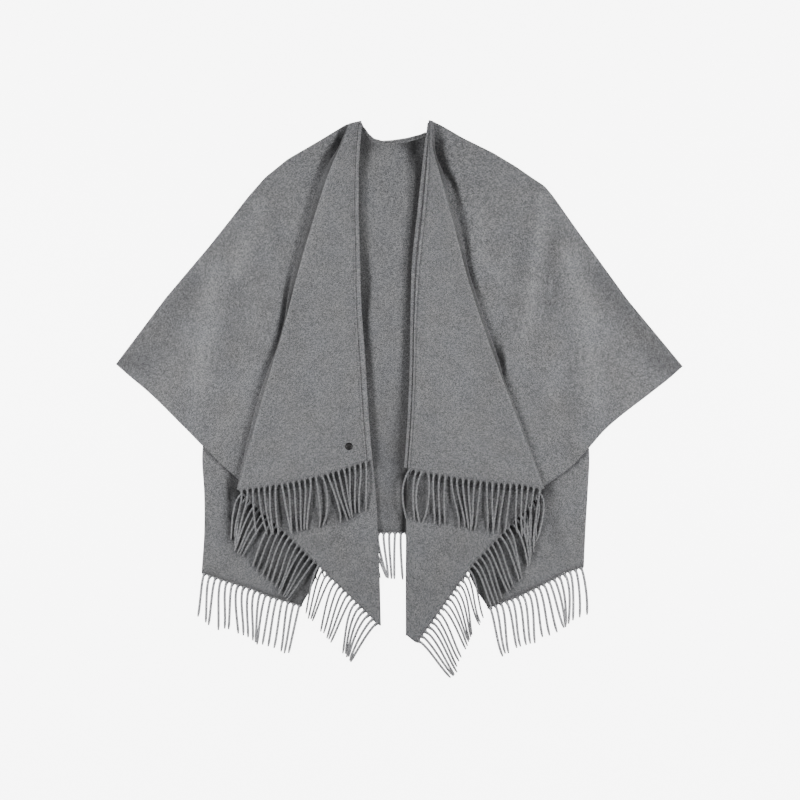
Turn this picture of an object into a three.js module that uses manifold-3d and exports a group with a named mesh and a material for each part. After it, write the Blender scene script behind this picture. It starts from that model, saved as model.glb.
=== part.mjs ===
// Fringed poncho wrap, laid flat on its back. Millimetres, +Z up, photograph's up is +Y.
import * as THREE from 'three';
import { mergeVertices } from 'three/examples/jsm/utils/BufferGeometryUtils.js';
import Module from 'manifold-3d';

const wasm = await Module();
wasm.setup();

const WALL = 1.6;            // cloth
const PLY = 2.6;             // rise from one ply of cloth to the next
const SEAM = 0.3;            // gap between pieces
const STRAND = 1.45;         // strand's circumradius, three sides
const FRINGE = 3.5;          // rise over a fringe that lies underneath
const LIFT = 0.4;            // strands clear of what is below them
const STRIP = 3.8;           // width of the strip that holds the roots
const PITCH = 11.5;          // from one strand to the next
const MARGIN = 32;           // an upper ply keeps its height this far past the edge below
const FALL = 85;             // and comes down over this length
const BAND = 11;             // width of the turned edges
const BAND_WALL = 1.0;

// Fronts: a row for each section from the shoulder to the hem. Points are [x, y] in plan.
// selvedge: outer edge, under; inner: fold near the slit; outer: fold that shows; edge: front edge.
// rise: extra height of the outer fold's soft nose.
const FRONT = {
  left: [
    { at: 0.00, selvedge: [-565, 72], inner: [-92, 553], outer: [-105, 551], edge: [-77, 557], rise: 0.5 },
    { at: 0.10, selvedge: [-507, 26], inner: [-89, 452], outer: [-135, 475], edge: [-82.5, 490], rise: 8 },
    { at: 0.25, selvedge: [-429, -54], inner: [-88, 300], outer: [-174, 364], edge: [-82, 388], rise: 6 },
    { at: 0.40, selvedge: [-349, -130], inner: [-84, 149], outer: [-210, 255], edge: [-80.5, 287], rise: 5 },
    { at: 0.55, selvedge: [-265, -208], inner: [-74, -1], outer: [-240, 146], edge: [-78.5, 185], rise: 5 },
    { at: 0.70, selvedge: [-188, -288], inner: [-52, -152], outer: [-269, 37], edge: [-71, 83], rise: 3.5 },
    { at: 0.85, selvedge: [-113, -368], inner: [-43, -304], outer: [-297, -72], edge: [-64, -18], rise: 3 },
    { at: 1.00, selvedge: [-50, -446], inner: [-38.6, -455], outer: [-326, -181], edge: [-55, -120], rise: 2 },
  ],
  right: [
    { at: 0.00, selvedge: [566.6, 65.4], inner: [60, 556], outer: [66, 556.5], edge: [57, 558], rise: 0.3 },
    { at: 0.10, selvedge: [505, 21], inner: [49, 451], outer: [78, 458], edge: [47, 487], rise: 8 },
    { at: 0.25, selvedge: [420, -55], inner: [32, 298], outer: [106, 349], edge: [34.5, 383], rise: 6 },
    { at: 0.40, selvedge: [337, -134], inner: [28, 145], outer: [136, 243], edge: [23.5, 279], rise: 4 },
    { at: 0.55, selvedge: [245, -205], inner: [25, -8], outer: [171, 136], edge: [20.5, 175], rise: 3.5 },
    { at: 0.70, selvedge: [168, -292], inner: [15, -161], outer: [209, 31], edge: [18.5, 71], rise: 4 },
    { at: 0.85, selvedge: [92, -380], inner: [12, -314], outer: [249, -74], edge: [15, -33], rise: 3 },
    { at: 1.00, selvedge: [24, -466], inner: [13.8, -468], outer: [290, -178], edge: [9, -136], rise: 2 },
  ],
};
// Back, one side: outer fold on the floor, inner fold hidden above it, selvedge of the top ply.
// The inner fold ends at 0.8, from there the inner column is the turned part's own edge.
const BACK = {
  left: [
    { at: 0.00, outer: [-296, 416], inner: [-282, 431], selvedge: [-563, 73], rise: 0.3 },
    { at: 0.10, outer: [-307, 348], inner: [-270, 339], selvedge: [-500, 34], rise: 2 },
    { at: 0.25, outer: [-330, 236], inner: [-243, 206], selvedge: [-428, -28], rise: 1.2 },
    { at: 0.40, outer: [-354, 121], inner: [-216, 73], selvedge: [-350, -94], rise: 1.2 },
    { at: 0.55, outer: [-377, 6], inner: [-190, -60], selvedge: [-274, -166], rise: 1.2 },
    { at: 0.70, outer: [-396, -110], inner: [-163, -193], selvedge: [-196, -232], rise: 1.2 },
    { at: 0.80, outer: [-392, -188], inner: [-145, -282], selvedge: [-155, -275], rise: 1.2 },
    { at: 0.90, outer: [-392, -266], inner: [-170, -346], selvedge: [-180, -346], rise: 2 },
    { at: 1.00, outer: [-395, -345], inner: [-196, -415], selvedge: [-206, -415], rise: 1.5 },
  ],
  right: [
    { at: 0.00, outer: [303, 408], inner: [290, 424], selvedge: [564, 66], rise: 0.3 },
    { at: 0.10, outer: [312, 338], inner: [272, 332], selvedge: [497, 29], rise: 2 },
    { at: 0.25, outer: [329, 226], inner: [241, 201], selvedge: [420, -34], rise: 1.2 },
    { at: 0.40, outer: [347, 115], inner: [211, 69], selvedge: [345, -98], rise: 1.2 },
    { at: 0.55, outer: [364, 3], inner: [181, -63], selvedge: [262, -162], rise: 1.2 },
    { at: 0.70, outer: [379, -108], inner: [150, -194], selvedge: [182, -232], rise: 1.2 },
    { at: 0.80, outer: [373, -182], inner: [130, -282], selvedge: [140, -274], rise: 1.2 },
    { at: 0.90, outer: [370, -258], inner: [152, -350], selvedge: [162, -350], rise: 2 },
    { at: 1.00, outer: [366, -334], inner: [175, -418], selvedge: [185, -418], rise: 1.5 },
  ],
};
const BACK_FOLD_ENDS = 0.8;

// Edges that join those sections' ends, from one named corner to the other.
const EDGE = {
  left: {
    shoulder: [[-92, 553], [-106, 552], [-163, 520], [-224, 483], [-267, 448], [-302, 409], [-380, 305], [-466, 203], [-565, 72]],
    turnedHem: [[-38.6, -455], [-158, -339], [-228, -269], [-291, -212], [-326, -181]],
    topHem: [[-326, -181], [-307, -178], [-228, -166], [-148, -148], [-69, -123], [-55, -120]],
    backTurnedHem: [[-395, -345], [-360, -360], [-297, -380], [-261, -395], [-196, -415]],
  },
  right: {
    shoulder: [[60, 556], [64, 556], [123, 524], [184, 494], [254, 449], [287, 427], [303, 408], [368, 318], [454, 200], [566.6, 65.4]],
    turnedHem: [[13.8, -468], [33, -485], [103, -392], [149, -327], [205, -269], [290, -178]],
    topHem: [[290, -178], [239, -168], [192, -165], [119, -156], [43, -143], [9, -136]],
    backTurnedHem: [[366, -334], [338, -345], [272, -378], [235, -395], [175, -418]],
  },
  neck: [[-105, 551], [-77, 557], [-72, 535], [-50, 518], [-17, 519.5], [13, 524], [40, 531], [54, 537], [57, 558]],
  backHem: [[-395, -345], [-370, -312], [-320, -290], [-200, -270], [-17, -265], [200, -270], [320, -290], [345, -305], [366, -334]],
};

// Long soft swells that run down the sleeves: from and to in plan, height and half width.
const SWELL = {
  left: [
    { from: [-120, 452], to: [-192, 250], high: 3, wide: 22 },
    { from: [-368, 250], to: [-408, 30], high: 5, wide: 34 },
    { from: [-282, 384], to: [-326, 250], high: 4, wide: 30 },
  ],
  right: [
    { from: [166, 420], to: [192, 300], high: 4, wide: 26 },
    { from: [290, 400], to: [280, 280], high: 4, wide: 30 },
    { from: [336, 296], to: [392, 10], high: 5, wide: 34 },
  ],
};

// Fringes: along the hem from its first corner, the way the strands point, their length.
const LAY = {
  leftTurned: [[0, -120, 97], [0.25, -118, 97], [0.47, -109, 97], [0.56, -128, 97], [0.8, -124, 97], [1, -104, 95]],
  leftTop: [[0, -86, 97], [0.2, -80, 97], [0.5, -83, 97], [0.8, -78, 97], [0.92, -86, 97], [1, -97, 97]],
  rightTurned: [[0, -54, 102], [0.2, -55, 100], [0.42, -66, 98], [0.55, -58, 98], [0.8, -70, 98], [1, -84, 96]],
  rightTop: [[0, -90, 97], [0.3, -92, 97], [0.6, -94, 97], [0.8, -88, 97], [1, -86, 97]],
  backLeft: [[0, -97, 97], [0.3, -92, 97], [0.6, -98, 97], [0.8, -105, 97], [1, -101, 97]],
  backRight: [[0, -81, 97], [0.25, -70, 97], [0.5, -73, 97], [0.8, -80, 97], [1, -76, 97]],
  back: [[0, -44, 52], [0.08, -60, 66], [0.2, -82, 90], [0.5, -89, 97], [0.8, -98, 90], [0.92, -120, 66], [1, -136, 52]],
};

const lerp = (a, b, t) => a + (b - a) * t;
const mix = (p, q, t) => [lerp(p[0], q[0], t), lerp(p[1], q[1], t)];
const smooth = t => t * t * (3 - 2 * t);

// Point at a share of a line's length, and a curve through a table's column at a given row position.
function pointAlong(line, share) {
  const gaps = line.slice(1).map((p, i) => Math.hypot(p[0] - line[i][0], p[1] - line[i][1]));
  let left = share * gaps.reduce((a, b) => a + b, 0);
  for (let i = 0; i < gaps.length; i++) {
    if (left <= gaps[i] || i === gaps.length - 1) return mix(line[i], line[i + 1], Math.min(1, left / gaps[i]));
    left -= gaps[i];
  }
}
function column(table, key, at) {
  let i = 0;
  while (i < table.length - 2 && at > table[i + 1].at) i++;
  const value = n => { const v = table[Math.max(0, Math.min(table.length - 1, n))][key]; return Array.isArray(v) ? v : [v, 0]; };
  const t = (at - table[i].at) / (table[i + 1].at - table[i].at);
  const bend = k => {
    const [a, b, c, d] = [value(i - 1)[k], value(i)[k], value(i + 1)[k], value(i + 2)[k]];
    return 0.5 * (2 * b + (c - a) * t + (2 * a - 5 * b + 4 * c - d) * t * t + (3 * b - a - 3 * c + d) * t * t * t);
  };
  return [bend(0), bend(1)];
}
function layAt(table, share) {
  const i = Math.min(table.length - 2, table.filter(r => r[0] <= share).length - 1);
  const t = (share - table[i][0]) / (table[i + 1][0] - table[i][0]);
  return { angle: lerp(table[i][1], table[i + 1][1], t), length: lerp(table[i][2], table[i + 1][2], t) };
}

// Distance from a point to a line or to a closed outline, where inside counts as zero.
function distance(line, x, y, closed = false) {
  let best = Infinity, inside = false;
  const n = line.length;
  for (let i = 0; i < (closed ? n : n - 1); i++) {
    const [ax, ay] = line[i], [bx, by] = line[(i + 1) % n];
    const t = Math.max(0, Math.min(1, ((x - ax) * (bx - ax) + (y - ay) * (by - ay)) / ((bx - ax) ** 2 + (by - ay) ** 2 || 1)));
    best = Math.min(best, Math.hypot(x - ax - t * (bx - ax), y - ay - t * (by - ay)));
    if (closed && (ay > y) !== (by > y) && x < ax + (bx - ax) * (y - ay) / (by - ay)) inside = !inside;
  }
  return inside ? 0 : best;
}

// Outlines of the plies on one side, each with its level in the stack and what it adds to those above.
const STEPS = Array.from({ length: 13 }, (_, i) => i / 12);
const track = (table, key) => STEPS.map(t => column(table, key, t));
function fringeOutline(line, lay) {
  const ends = STEPS.map(s => {
    const p = pointAlong(line, s), { angle, length } = layAt(lay, s), a = angle * Math.PI / 180;
    return [p[0] + Math.cos(a) * (length + 4), p[1] + Math.sin(a) * (length + 4)];
  });
  return [...line, ...ends.reverse()];
}
function plies(side) {
  const f = FRONT[side], b = BACK[side], e = EDGE[side];
  const back = [...EDGE.neck, ...track(BACK.right, 'outer'), ...[...EDGE.backHem].reverse(), ...track(BACK.left, 'outer').reverse()];
  return [
    { level: 0, adds: PLY, outline: back },
    { level: 0, adds: FRINGE, outline: fringeOutline(EDGE.backHem, LAY.back) },
    { level: 1, adds: PLY, outline: [...track(b, 'outer'), ...e.backTurnedHem, ...track(b, 'inner').reverse()] },
    { level: 1, adds: FRINGE, outline: fringeOutline(e.backTurnedHem, side === 'left' ? LAY.backLeft : LAY.backRight) },
    { level: 2, adds: PLY, outline: [...track(b, 'inner').slice(0, 10), ...track(b, 'selvedge').slice(0, 10).reverse()] },
    { level: 3, adds: PLY, outline: [...track(f, 'inner'), ...track(f, 'selvedge').reverse(), ...[...e.shoulder].reverse()] },
    { level: 4, adds: PLY, outline: [...track(f, 'inner'), ...e.turnedHem, ...track(f, 'outer').reverse()] },
    { level: 4, adds: FRINGE, outline: fringeOutline(e.turnedHem, side === 'left' ? LAY.leftTurned : LAY.rightTurned) },
    { level: 5, adds: PLY, outline: [...track(f, 'outer'), ...e.topHem, ...track(f, 'edge').reverse()] },
  ];
}
const STACK = { left: plies('left'), right: plies('right') };
const FOLDS = {};
for (const side of ['left', 'right']) {
  FOLDS[side] = [
    { level: 5, line: track(FRONT[side], 'outer'), high: STEPS.map(t => column(FRONT[side], 'rise', t)[0]), wide: 30 },
    { level: 4, line: track(FRONT[side], 'inner'), high: STEPS.map(() => 1), wide: 24 },
    { level: 1, line: track(BACK[side], 'outer'), high: STEPS.map(t => column(BACK[side], 'rise', t)[0]), wide: 30 },
  ];
}

// Height of a ply's underside anywhere on one side.
function under(side, level, x, y) {
  let z = 0;
  for (const ply of STACK[side]) {
    if (ply.level >= level) continue;
    const d = distance(ply.outline, x, y, true);
    z += ply.adds * (d < MARGIN ? 1 : d > MARGIN + FALL ? 0 : smooth(1 - (d - MARGIN) / FALL));
  }
  for (const fold of FOLDS[side]) {
    if (level < fold.level) continue;
    let best = 0;
    fold.line.forEach((p, i) => {
      if (i === 0) return;
      const q = fold.line[i - 1], len = Math.hypot(p[0] - q[0], p[1] - q[1]);
      const t = Math.max(0, Math.min(1, ((x - q[0]) * (p[0] - q[0]) + (y - q[1]) * (p[1] - q[1])) / (len * len)));
      const d = Math.hypot(x - lerp(q[0], p[0], t), y - lerp(q[1], p[1], t));
      best = Math.max(best, lerp(fold.high[i - 1], fold.high[i], t) * Math.exp(-((d / fold.wide) ** 2)));
    });
    z += best;
  }
  if (level >= 3) {
    const shoulder = distance(EDGE[side].shoulder, x, y);
    z -= 0.5 * (PLY - WALL - SEAM) * Math.exp(-((shoulder / 8) ** 2)) * (level === 3 ? 1 : 0);
    for (const s of SWELL[side]) {
      const d = distance([s.from, s.to], x, y);
      z += s.high * Math.exp(-((d / s.wide) ** 2)) * Math.min(1, shoulder / 40);
    }
  }
  return z;
}

// A patch of cloth between two side lines, with its first and last rows on given lines.
function patch(rows, shares, sideA, sideB, first, last) {
  return rows.map(at => {
    const a = sideA(at), b = sideB(at);
    return shares.map(s => {
      const p = mix(a, b, s);
      for (const [line, weight] of [[first, (1 - at) ** 2], [last, at ** 2]]) {
        if (!line) continue;
        const end = pointAlong(line, s), chord = mix(line[0], line[line.length - 1], s);
        p[0] += (end[0] - chord[0]) * weight;
        p[1] += (end[1] - chord[1]) * weight;
      }
      return p;
    });
  });
}

// Unit step across a fold line, towards the cloth.
function inward(line, at, towards) {
  const p = line(Math.max(0, at - 0.02)), q = line(Math.min(1, at + 0.02)), o = line(at);
  const n = [-(q[1] - p[1]), q[0] - p[0]], len = Math.hypot(...n);
  const sign = n[0] * (towards[0] - o[0]) + n[1] * (towards[1] - o[1]) < 0 ? -1 : 1;
  return [sign * n[0] / len, sign * n[1] / len];
}

// Closed wall round a grid of middle points; cells that `keep` refuses are left out.
function wall(grid, half, keep = () => true) {
  const ids = new Map(), mids = [], faces = [];
  const id = (r, c) => { const k = r * 1000 + c; if (!ids.has(k)) { ids.set(k, mids.length); mids.push(grid[r][c]); } return ids.get(k); };
  for (let r = 0; r + 1 < grid.length; r++) for (let c = 0; c + 1 < grid[0].length; c++) {
    if (!keep(r, c)) continue;
    faces.push([id(r, c), id(r + 1, c), id(r + 1, c + 1)], [id(r, c), id(r + 1, c + 1), id(r, c + 1)]);
  }
  const normals = mids.map(() => new THREE.Vector3());
  for (const [a, b, c] of faces) {
    const u = mids[b].clone().sub(mids[a]), v = mids[c].clone().sub(mids[a]);
    const n = u.cross(v).normalize();
    for (const k of [a, b, c]) normals[k].add(n);
  }
  normals.forEach(n => n.normalize());
  const n = mids.length, position = [];
  for (const s of [1, -1]) mids.forEach((m, i) => { const p = m.clone().addScaledVector(normals[i], s * half); position.push(p.x, p.y, p.z); });
  const index = [], open = new Map();
  for (const [a, b, c] of faces) {
    index.push(a, b, c, c + n, b + n, a + n);
    for (const [p, q] of [[a, b], [b, c], [c, a]]) {
      if (open.has(q + '_' + p)) open.delete(q + '_' + p); else open.set(p + '_' + q, [p, q]);
    }
  }
  for (const [p, q] of open.values()) index.push(q, p, p + n, q, p + n, q + n);
  return solid(position, index);
}
function solid(position, index) {
  let g = new THREE.BufferGeometry();
  g.setAttribute('position', new THREE.Float32BufferAttribute(position, 3));
  g.setIndex(index);
  const p = k => new THREE.Vector3().fromBufferAttribute(g.attributes.position, k);
  let volume = 0;
  for (let i = 0; i < index.length; i += 3) volume += p(index[i]).dot(p(index[i + 1]).cross(p(index[i + 2])));
  if (volume < 0) for (let i = 0; i < index.length; i += 3) [index[i], index[i + 1]] = [index[i + 1], index[i]];
  g.setIndex(index);
  return g;
}

const ROWS = [0, 0.022, 0.06, 0.12, 0.19, 0.27, 0.35, 0.43, 0.51, 0.59, 0.67, 0.75, 0.83, 0.91, 0.965, 1];
const ARC = [-Math.PI / 4, 0, Math.PI / 4];

// Middle points of a folded strip of plies. Each ply is a patch, each fold a half turn between two.
function stack(side, rows, parts, folds) {
  const grid = rows.map(() => []);
  const tag = [];
  parts.forEach((part, k) => {
    const radius = (fold, at) => {
      const p = fold.line(at);
      return Math.abs(under(side, fold.upper, ...p) - under(side, fold.lower, ...p)) / 2;
    };
    const edge = (line, fold, other) => at => {
      if (!fold) return line(at);
      const n = inward(line, at, other(at)), r = Math.min(radius(fold, at), fold.most ? fold.most(at) : 99);
      const p = line(at);
      return [p[0] + n[0] * r, p[1] + n[1] * r];
    };
    const a = edge(part.a, folds[k - 1], part.b), b = edge(part.b, folds[k], part.a);
    const points = patch(rows, part.shares, a, b, part.first, part.last);
    points.forEach((line, r) => line.forEach(([x, y]) => grid[r].push(new THREE.Vector3(x, y, under(side, part.level, x, y) + WALL / 2))));
    for (let i = 0; i < part.shares.length; i++) tag.push(part.name);
    const fold = folds[k];
    if (!fold) return;
    rows.forEach((at, r) => {
      const start = grid[r][grid[r].length - 1], o = fold.line(at);
      const endZ = under(side, fold.to, start.x, start.y) + WALL / 2;
      const reach = [start.x - o[0], start.y - o[1]];
      for (const angle of ARC) {
        const s = Math.cos(angle), h = (1 + Math.sin(angle)) / 2;
        grid[r].push(new THREE.Vector3(o[0] + reach[0] * (1 - s), o[1] + reach[1] * (1 - s), lerp(start.z, endZ, h)));
      }
    });
    tag.push(...ARC.map(() => 'fold'));
  });
  return { grid, tag };
}

// Front panel: outer third up to the inner fold, middle third back to the outer fold, centre third.
function front(side) {
  const t = FRONT[side], e = EDGE[side], line = key => at => column(t, key, at);
  const narrow = at => 0.22 * Math.hypot(line('outer')(at)[0] - line('edge')(at)[0], line('outer')(at)[1] - line('edge')(at)[1]);
  const inner = { line: line('inner'), lower: 3, upper: 4, to: 4, most: narrow };
  const outer = { line: line('outer'), lower: 4, upper: 5, to: 5, most: narrow };
  return stack(side, ROWS, [
    { name: 'under', level: 3, a: line('selvedge'), b: line('inner'), first: [...e.shoulder].reverse(),
      shares: [0, 0.08, 0.2, 0.32, 0.44, 0.56, 0.68, 0.8, 0.9, 0.97, 1] },
    { name: 'middle', level: 4, a: line('inner'), b: line('outer'), last: e.turnedHem, shares: [0, 0.08, 0.28, 0.5, 0.72, 0.92, 1] },
    { name: 'centre', level: 5, a: line('outer'), b: line('edge'), last: e.topHem, shares: [0, 0.06, 0.18, 0.38, 0.58, 0.78, 0.93, 1] },
  ], [inner, outer]);
}

// Back panel: left turned plies, the centre on the floor, right turned plies, as one grid of columns.
function back() {
  const part = side => {
    const t = BACK[side], e = EDGE[side], line = key => at => column(t, key, at);
    const shoulder = [line('inner')(0), ...e.shoulder.filter(p => Math.abs(p[0]) > Math.abs(line('outer')(0)[0]) + 4).slice(0, -1), line('selvedge')(0)];
    return stack(side, BACK_ROWS, [
      { name: 'top', level: 2, a: line('selvedge'), b: line('inner'), first: shoulder.reverse(), shares: [0, 0.1, 0.28, 0.46, 0.64, 0.82, 0.95, 1] },
      { name: 'turned', level: 1, a: line('inner'), b: line('outer'), last: [...e.backTurnedHem].reverse(), shares: [0, 0.1, 0.37, 0.63, 0.9, 1] },
      { name: 'floor', level: 0, a: line('outer'), b: line('inner'), shares: [0] },
    ], [
      { line: line('inner'), lower: 1, upper: 2, to: 1 },
      { line: line('outer'), lower: 0, upper: 1, to: 0 },
    ]);
  };
  const l = part('left'), r = part('right');
  const top = [l.grid[0].at(-1), ...[...EDGE.left.shoulder].reverse().filter(p => p[0] > -290 && p[0] < -100).map(p => ({ x: p[0], y: p[1] })),
    ...EDGE.neck.slice(1).map(p => ({ x: p[0], y: p[1] })), ...EDGE.right.shoulder.filter(p => p[0] > 65 && p[0] < 295).map(p => ({ x: p[0], y: p[1] })), r.grid[0].at(-1)].map(p => [p.x, p.y]);
  const side = (half, at) => { const i = BACK_ROWS.indexOf(at), p = half.grid[i].at(-1); return [p.x, p.y]; };
  const hem = [side(l, 1), ...EDGE.backHem.slice(1, -1), side(r, 1)];
  const middle = patch(BACK_ROWS, BACK_SHARES, at => side(l, at), at => side(r, at), top, hem);
  const grid = BACK_ROWS.map((_, i) => [
    ...l.grid[i].slice(0, -1),
    ...middle[i].map(([x, y]) => new THREE.Vector3(x, y, WALL / 2)),
    ...[...r.grid[i]].reverse().slice(1),
  ]);
  return { grid, columns: l.grid[0].length - 1, middle: BACK_SHARES.length, total: grid[0].length };
}
const BACK_ROWS = [0, 0.022, 0.07, 0.15, 0.25, 0.35, 0.45, 0.55, 0.64, 0.72, 0.8, 0.87, 0.94, 1];
const BACK_SHARES = [0, 0.03, 0.1, 0.2, 0.29, 0.36, 0.4, 0.415, 0.43, 0.46, 0.5, 0.545, 0.575, 0.59, 0.6, 0.64, 0.71, 0.8, 0.9, 0.97, 1];

// Turned band: two rails on the panel, moved out from its middle by the wall, the gap and its own half.
function band(rails, out) {
  const ring = rails.map(([p, q, n]) => {
    const low = WALL / 2 + SEAM, high = low + BAND_WALL;
    return [[p, low], [q, low], [q, high], [p, high]].map(([v, h]) => v.clone().addScaledVector(n, h * out));
  });
  const position = [], index = [];
  ring.forEach(r => r.forEach(v => position.push(v.x, v.y, v.z)));
  for (let i = 0; i + 1 < ring.length; i++) for (let k = 0; k < 4; k++) {
    const a = i * 4 + k, b = i * 4 + (k + 1) % 4;
    index.push(a, b, b + 4, a, b + 4, a + 4);
  }
  const e = (ring.length - 1) * 4;
  index.push(0, 2, 1, 0, 3, 2, e, e + 1, e + 2, e, e + 2, e + 3);
  return solid(position, index);
}

function toManifold(geometry) {
  const g = geometry.clone();
  g.deleteAttribute('normal'); g.deleteAttribute('uv');
  const m = mergeVertices(g, 1e-4);
  return new wasm.Manifold(new wasm.Mesh({ numProp: 3, vertProperties: new Float32Array(m.attributes.position.array), triVerts: new Uint32Array(m.index.array) }));
}
function fromManifold(m) {
  const mesh = m.getMesh();
  const g = new THREE.BufferGeometry();
  g.setAttribute('position', new THREE.Float32BufferAttribute(Float32Array.from(mesh.vertProperties), 3));
  g.setIndex(Array.from(mesh.triVerts));
  return g;
}

const COUNT = { strands: 0 };

// Fringe: a strip along the panel's own hem points, outside the wall, with the strands' roots fused in.
function fringe(side, level, points, lay, trim = [0, 1]) {
  const hem = points.map(p => [p.x, p.y]), total = lineLength(hem);
  const base = (x, y) => under(side, level, x, y) + LIFT;
  const shares = [];
  hem.reduce((sum, p, i) => { const d = i ? Math.hypot(p[0] - hem[i - 1][0], p[1] - hem[i - 1][1]) : 0; shares.push((sum + d) / total); return sum + d; }, 0);
  const cuts = [...new Set([trim[0], ...shares.filter(s => s > trim[0] + 0.004 && s < trim[1] - 0.004), trim[1]])];
  const rail = cuts.map(s => {
    const p = pointAlong(hem, s), n = outwardAt(hem, s, layAt(lay, s).angle);
    return [SEAM + 0.3, SEAM + STRIP].map(d => [p[0] + n[0] * d * n[2], p[1] + n[1] * d * n[2]]);
  });
  const position = [], index = [];
  rail.forEach(([p, q]) => {
    const z = base(...p), w = base(...q);
    for (const [v, h] of [[p, z], [q, w], [q, w + 1.5 * STRAND], [p, z + 1.5 * STRAND]]) position.push(v[0], v[1], h);
  });
  for (let i = 0; i + 1 < rail.length; i++) for (let k = 0; k < 4; k++) {
    const a = i * 4 + k, b = i * 4 + (k + 1) % 4;
    index.push(a, b, b + 4, a, b + 4, a + 4);
  }
  const e = (rail.length - 1) * 4;
  index.push(0, 2, 1, 0, 3, 2, e, e + 1, e + 2, e, e + 2, e + 3);
  const bodies = [toManifold(solid(position, index))];
  const count = Math.floor(total * (trim[1] - trim[0]) / PITCH);
  for (let k = 0; k < count; k++) {
    const s = lerp(trim[0], trim[1], (k + 0.5) / count);
    const p = pointAlong(hem, s), n = outwardAt(hem, s, layAt(lay, s).angle), { angle, length: long } = layAt(lay, s);
    const a = angle * Math.PI / 180, wave = 1.5 * Math.sin(k * 1.7), start = SEAM + STRIP - 1.6;
    const root = [p[0] + n[0] * start, p[1] + n[1] * start];
    const rings = [0, 0.3, 0.65, 1].map(t => {
      const bow = wave * Math.sin(Math.PI * t);
      const x = root[0] + Math.cos(a) * long * t - Math.sin(a) * bow, y = root[1] + Math.sin(a) * long * t + Math.cos(a) * bow;
      const z = base(x, y) + STRAND, r = t === 1 ? STRAND * 0.8 : STRAND;
      return [-90, 30, 150].map(d => {
        const c = Math.cos(d * Math.PI / 180) * r, h = Math.sin(d * Math.PI / 180) * r;
        return [x - Math.sin(a) * c, y + Math.cos(a) * c, z + h];
      });
    });
    const pos = rings.flat(2), idx = [];
    for (let i = 0; i < 3; i++) for (let j = 0; j < 3; j++) {
      const u = i * 3 + j, v = i * 3 + (j + 1) % 3;
      idx.push(u, v, v + 3, u, v + 3, u + 3);
    }
    idx.push(0, 2, 1, 9, 10, 11);
    bodies.push(toManifold(solid(pos, idx)));
    COUNT.strands++;
  }
  return fromManifold(wasm.Manifold.union(bodies));
}
const lineLength = line => line.slice(1).reduce((sum, p, i) => sum + Math.hypot(p[0] - line[i][0], p[1] - line[i][1]), 0);
// Step out of a hem at a share of its length, on the strands' side; the third value is the mitre's stretch.
function outwardAt(line, s, angle) {
  const unit = (p, q) => { const l = Math.hypot(q[0] - p[0], q[1] - p[1]) || 1; return [(q[0] - p[0]) / l, (q[1] - p[1]) / l]; };
  const o = pointAlong(line, s), p = pointAlong(line, Math.max(0, s - 0.004)), q = pointAlong(line, Math.min(1, s + 0.004));
  const u = s <= 0.002 ? unit(o, q) : unit(p, o), v = s >= 0.998 ? unit(p, o) : unit(o, q);
  const m = unit([0, 0], [u[0] + v[0], u[1] + v[1]]), a = angle * Math.PI / 180;
  const sign = -m[1] * Math.cos(a) + m[0] * Math.sin(a) < 0 ? -1 : 1;
  return [-m[1] * sign, m[0] * sign, 1 / Math.max(0.5, m[0] * u[0] + m[1] * u[1])];
}

// Height and slope of a panel's facet under a point, from its grid.
function facet(grid, x, y, columns) {
  for (let r = 0; r + 1 < grid.length; r++) for (let c = columns[0]; c < columns[1]; c++) {
    for (const [a, b, d] of [[grid[r][c], grid[r + 1][c], grid[r + 1][c + 1]], [grid[r][c], grid[r + 1][c + 1], grid[r][c + 1]]]) {
      const det = (b.x - a.x) * (d.y - a.y) - (d.x - a.x) * (b.y - a.y);
      const u = ((x - a.x) * (d.y - a.y) - (d.x - a.x) * (y - a.y)) / det, v = ((b.x - a.x) * (y - a.y) - (x - a.x) * (b.y - a.y)) / det;
      if (u < 0 || v < 0 || u + v > 1) continue;
      const n = b.clone().sub(a).cross(d.clone().sub(a)).normalize();
      if (n.z < 0) n.negate();
      return { z: a.z + u * (b.z - a.z) + v * (d.z - a.z), n };
    }
  }
}

const group = new THREE.Group();
const add = (name, geometry) => { const m = new THREE.Mesh(geometry); m.name = name; group.add(m); };

const backSheet = back();
const foldRow = BACK_ROWS.indexOf(BACK_FOLD_ENDS), topColumns = 8 + ARC.length;
add('back_panel', wall(backSheet.grid, WALL / 2, (r, c) =>
  r < foldRow || (c >= topColumns && c < backSheet.total - 1 - topColumns)));

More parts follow.
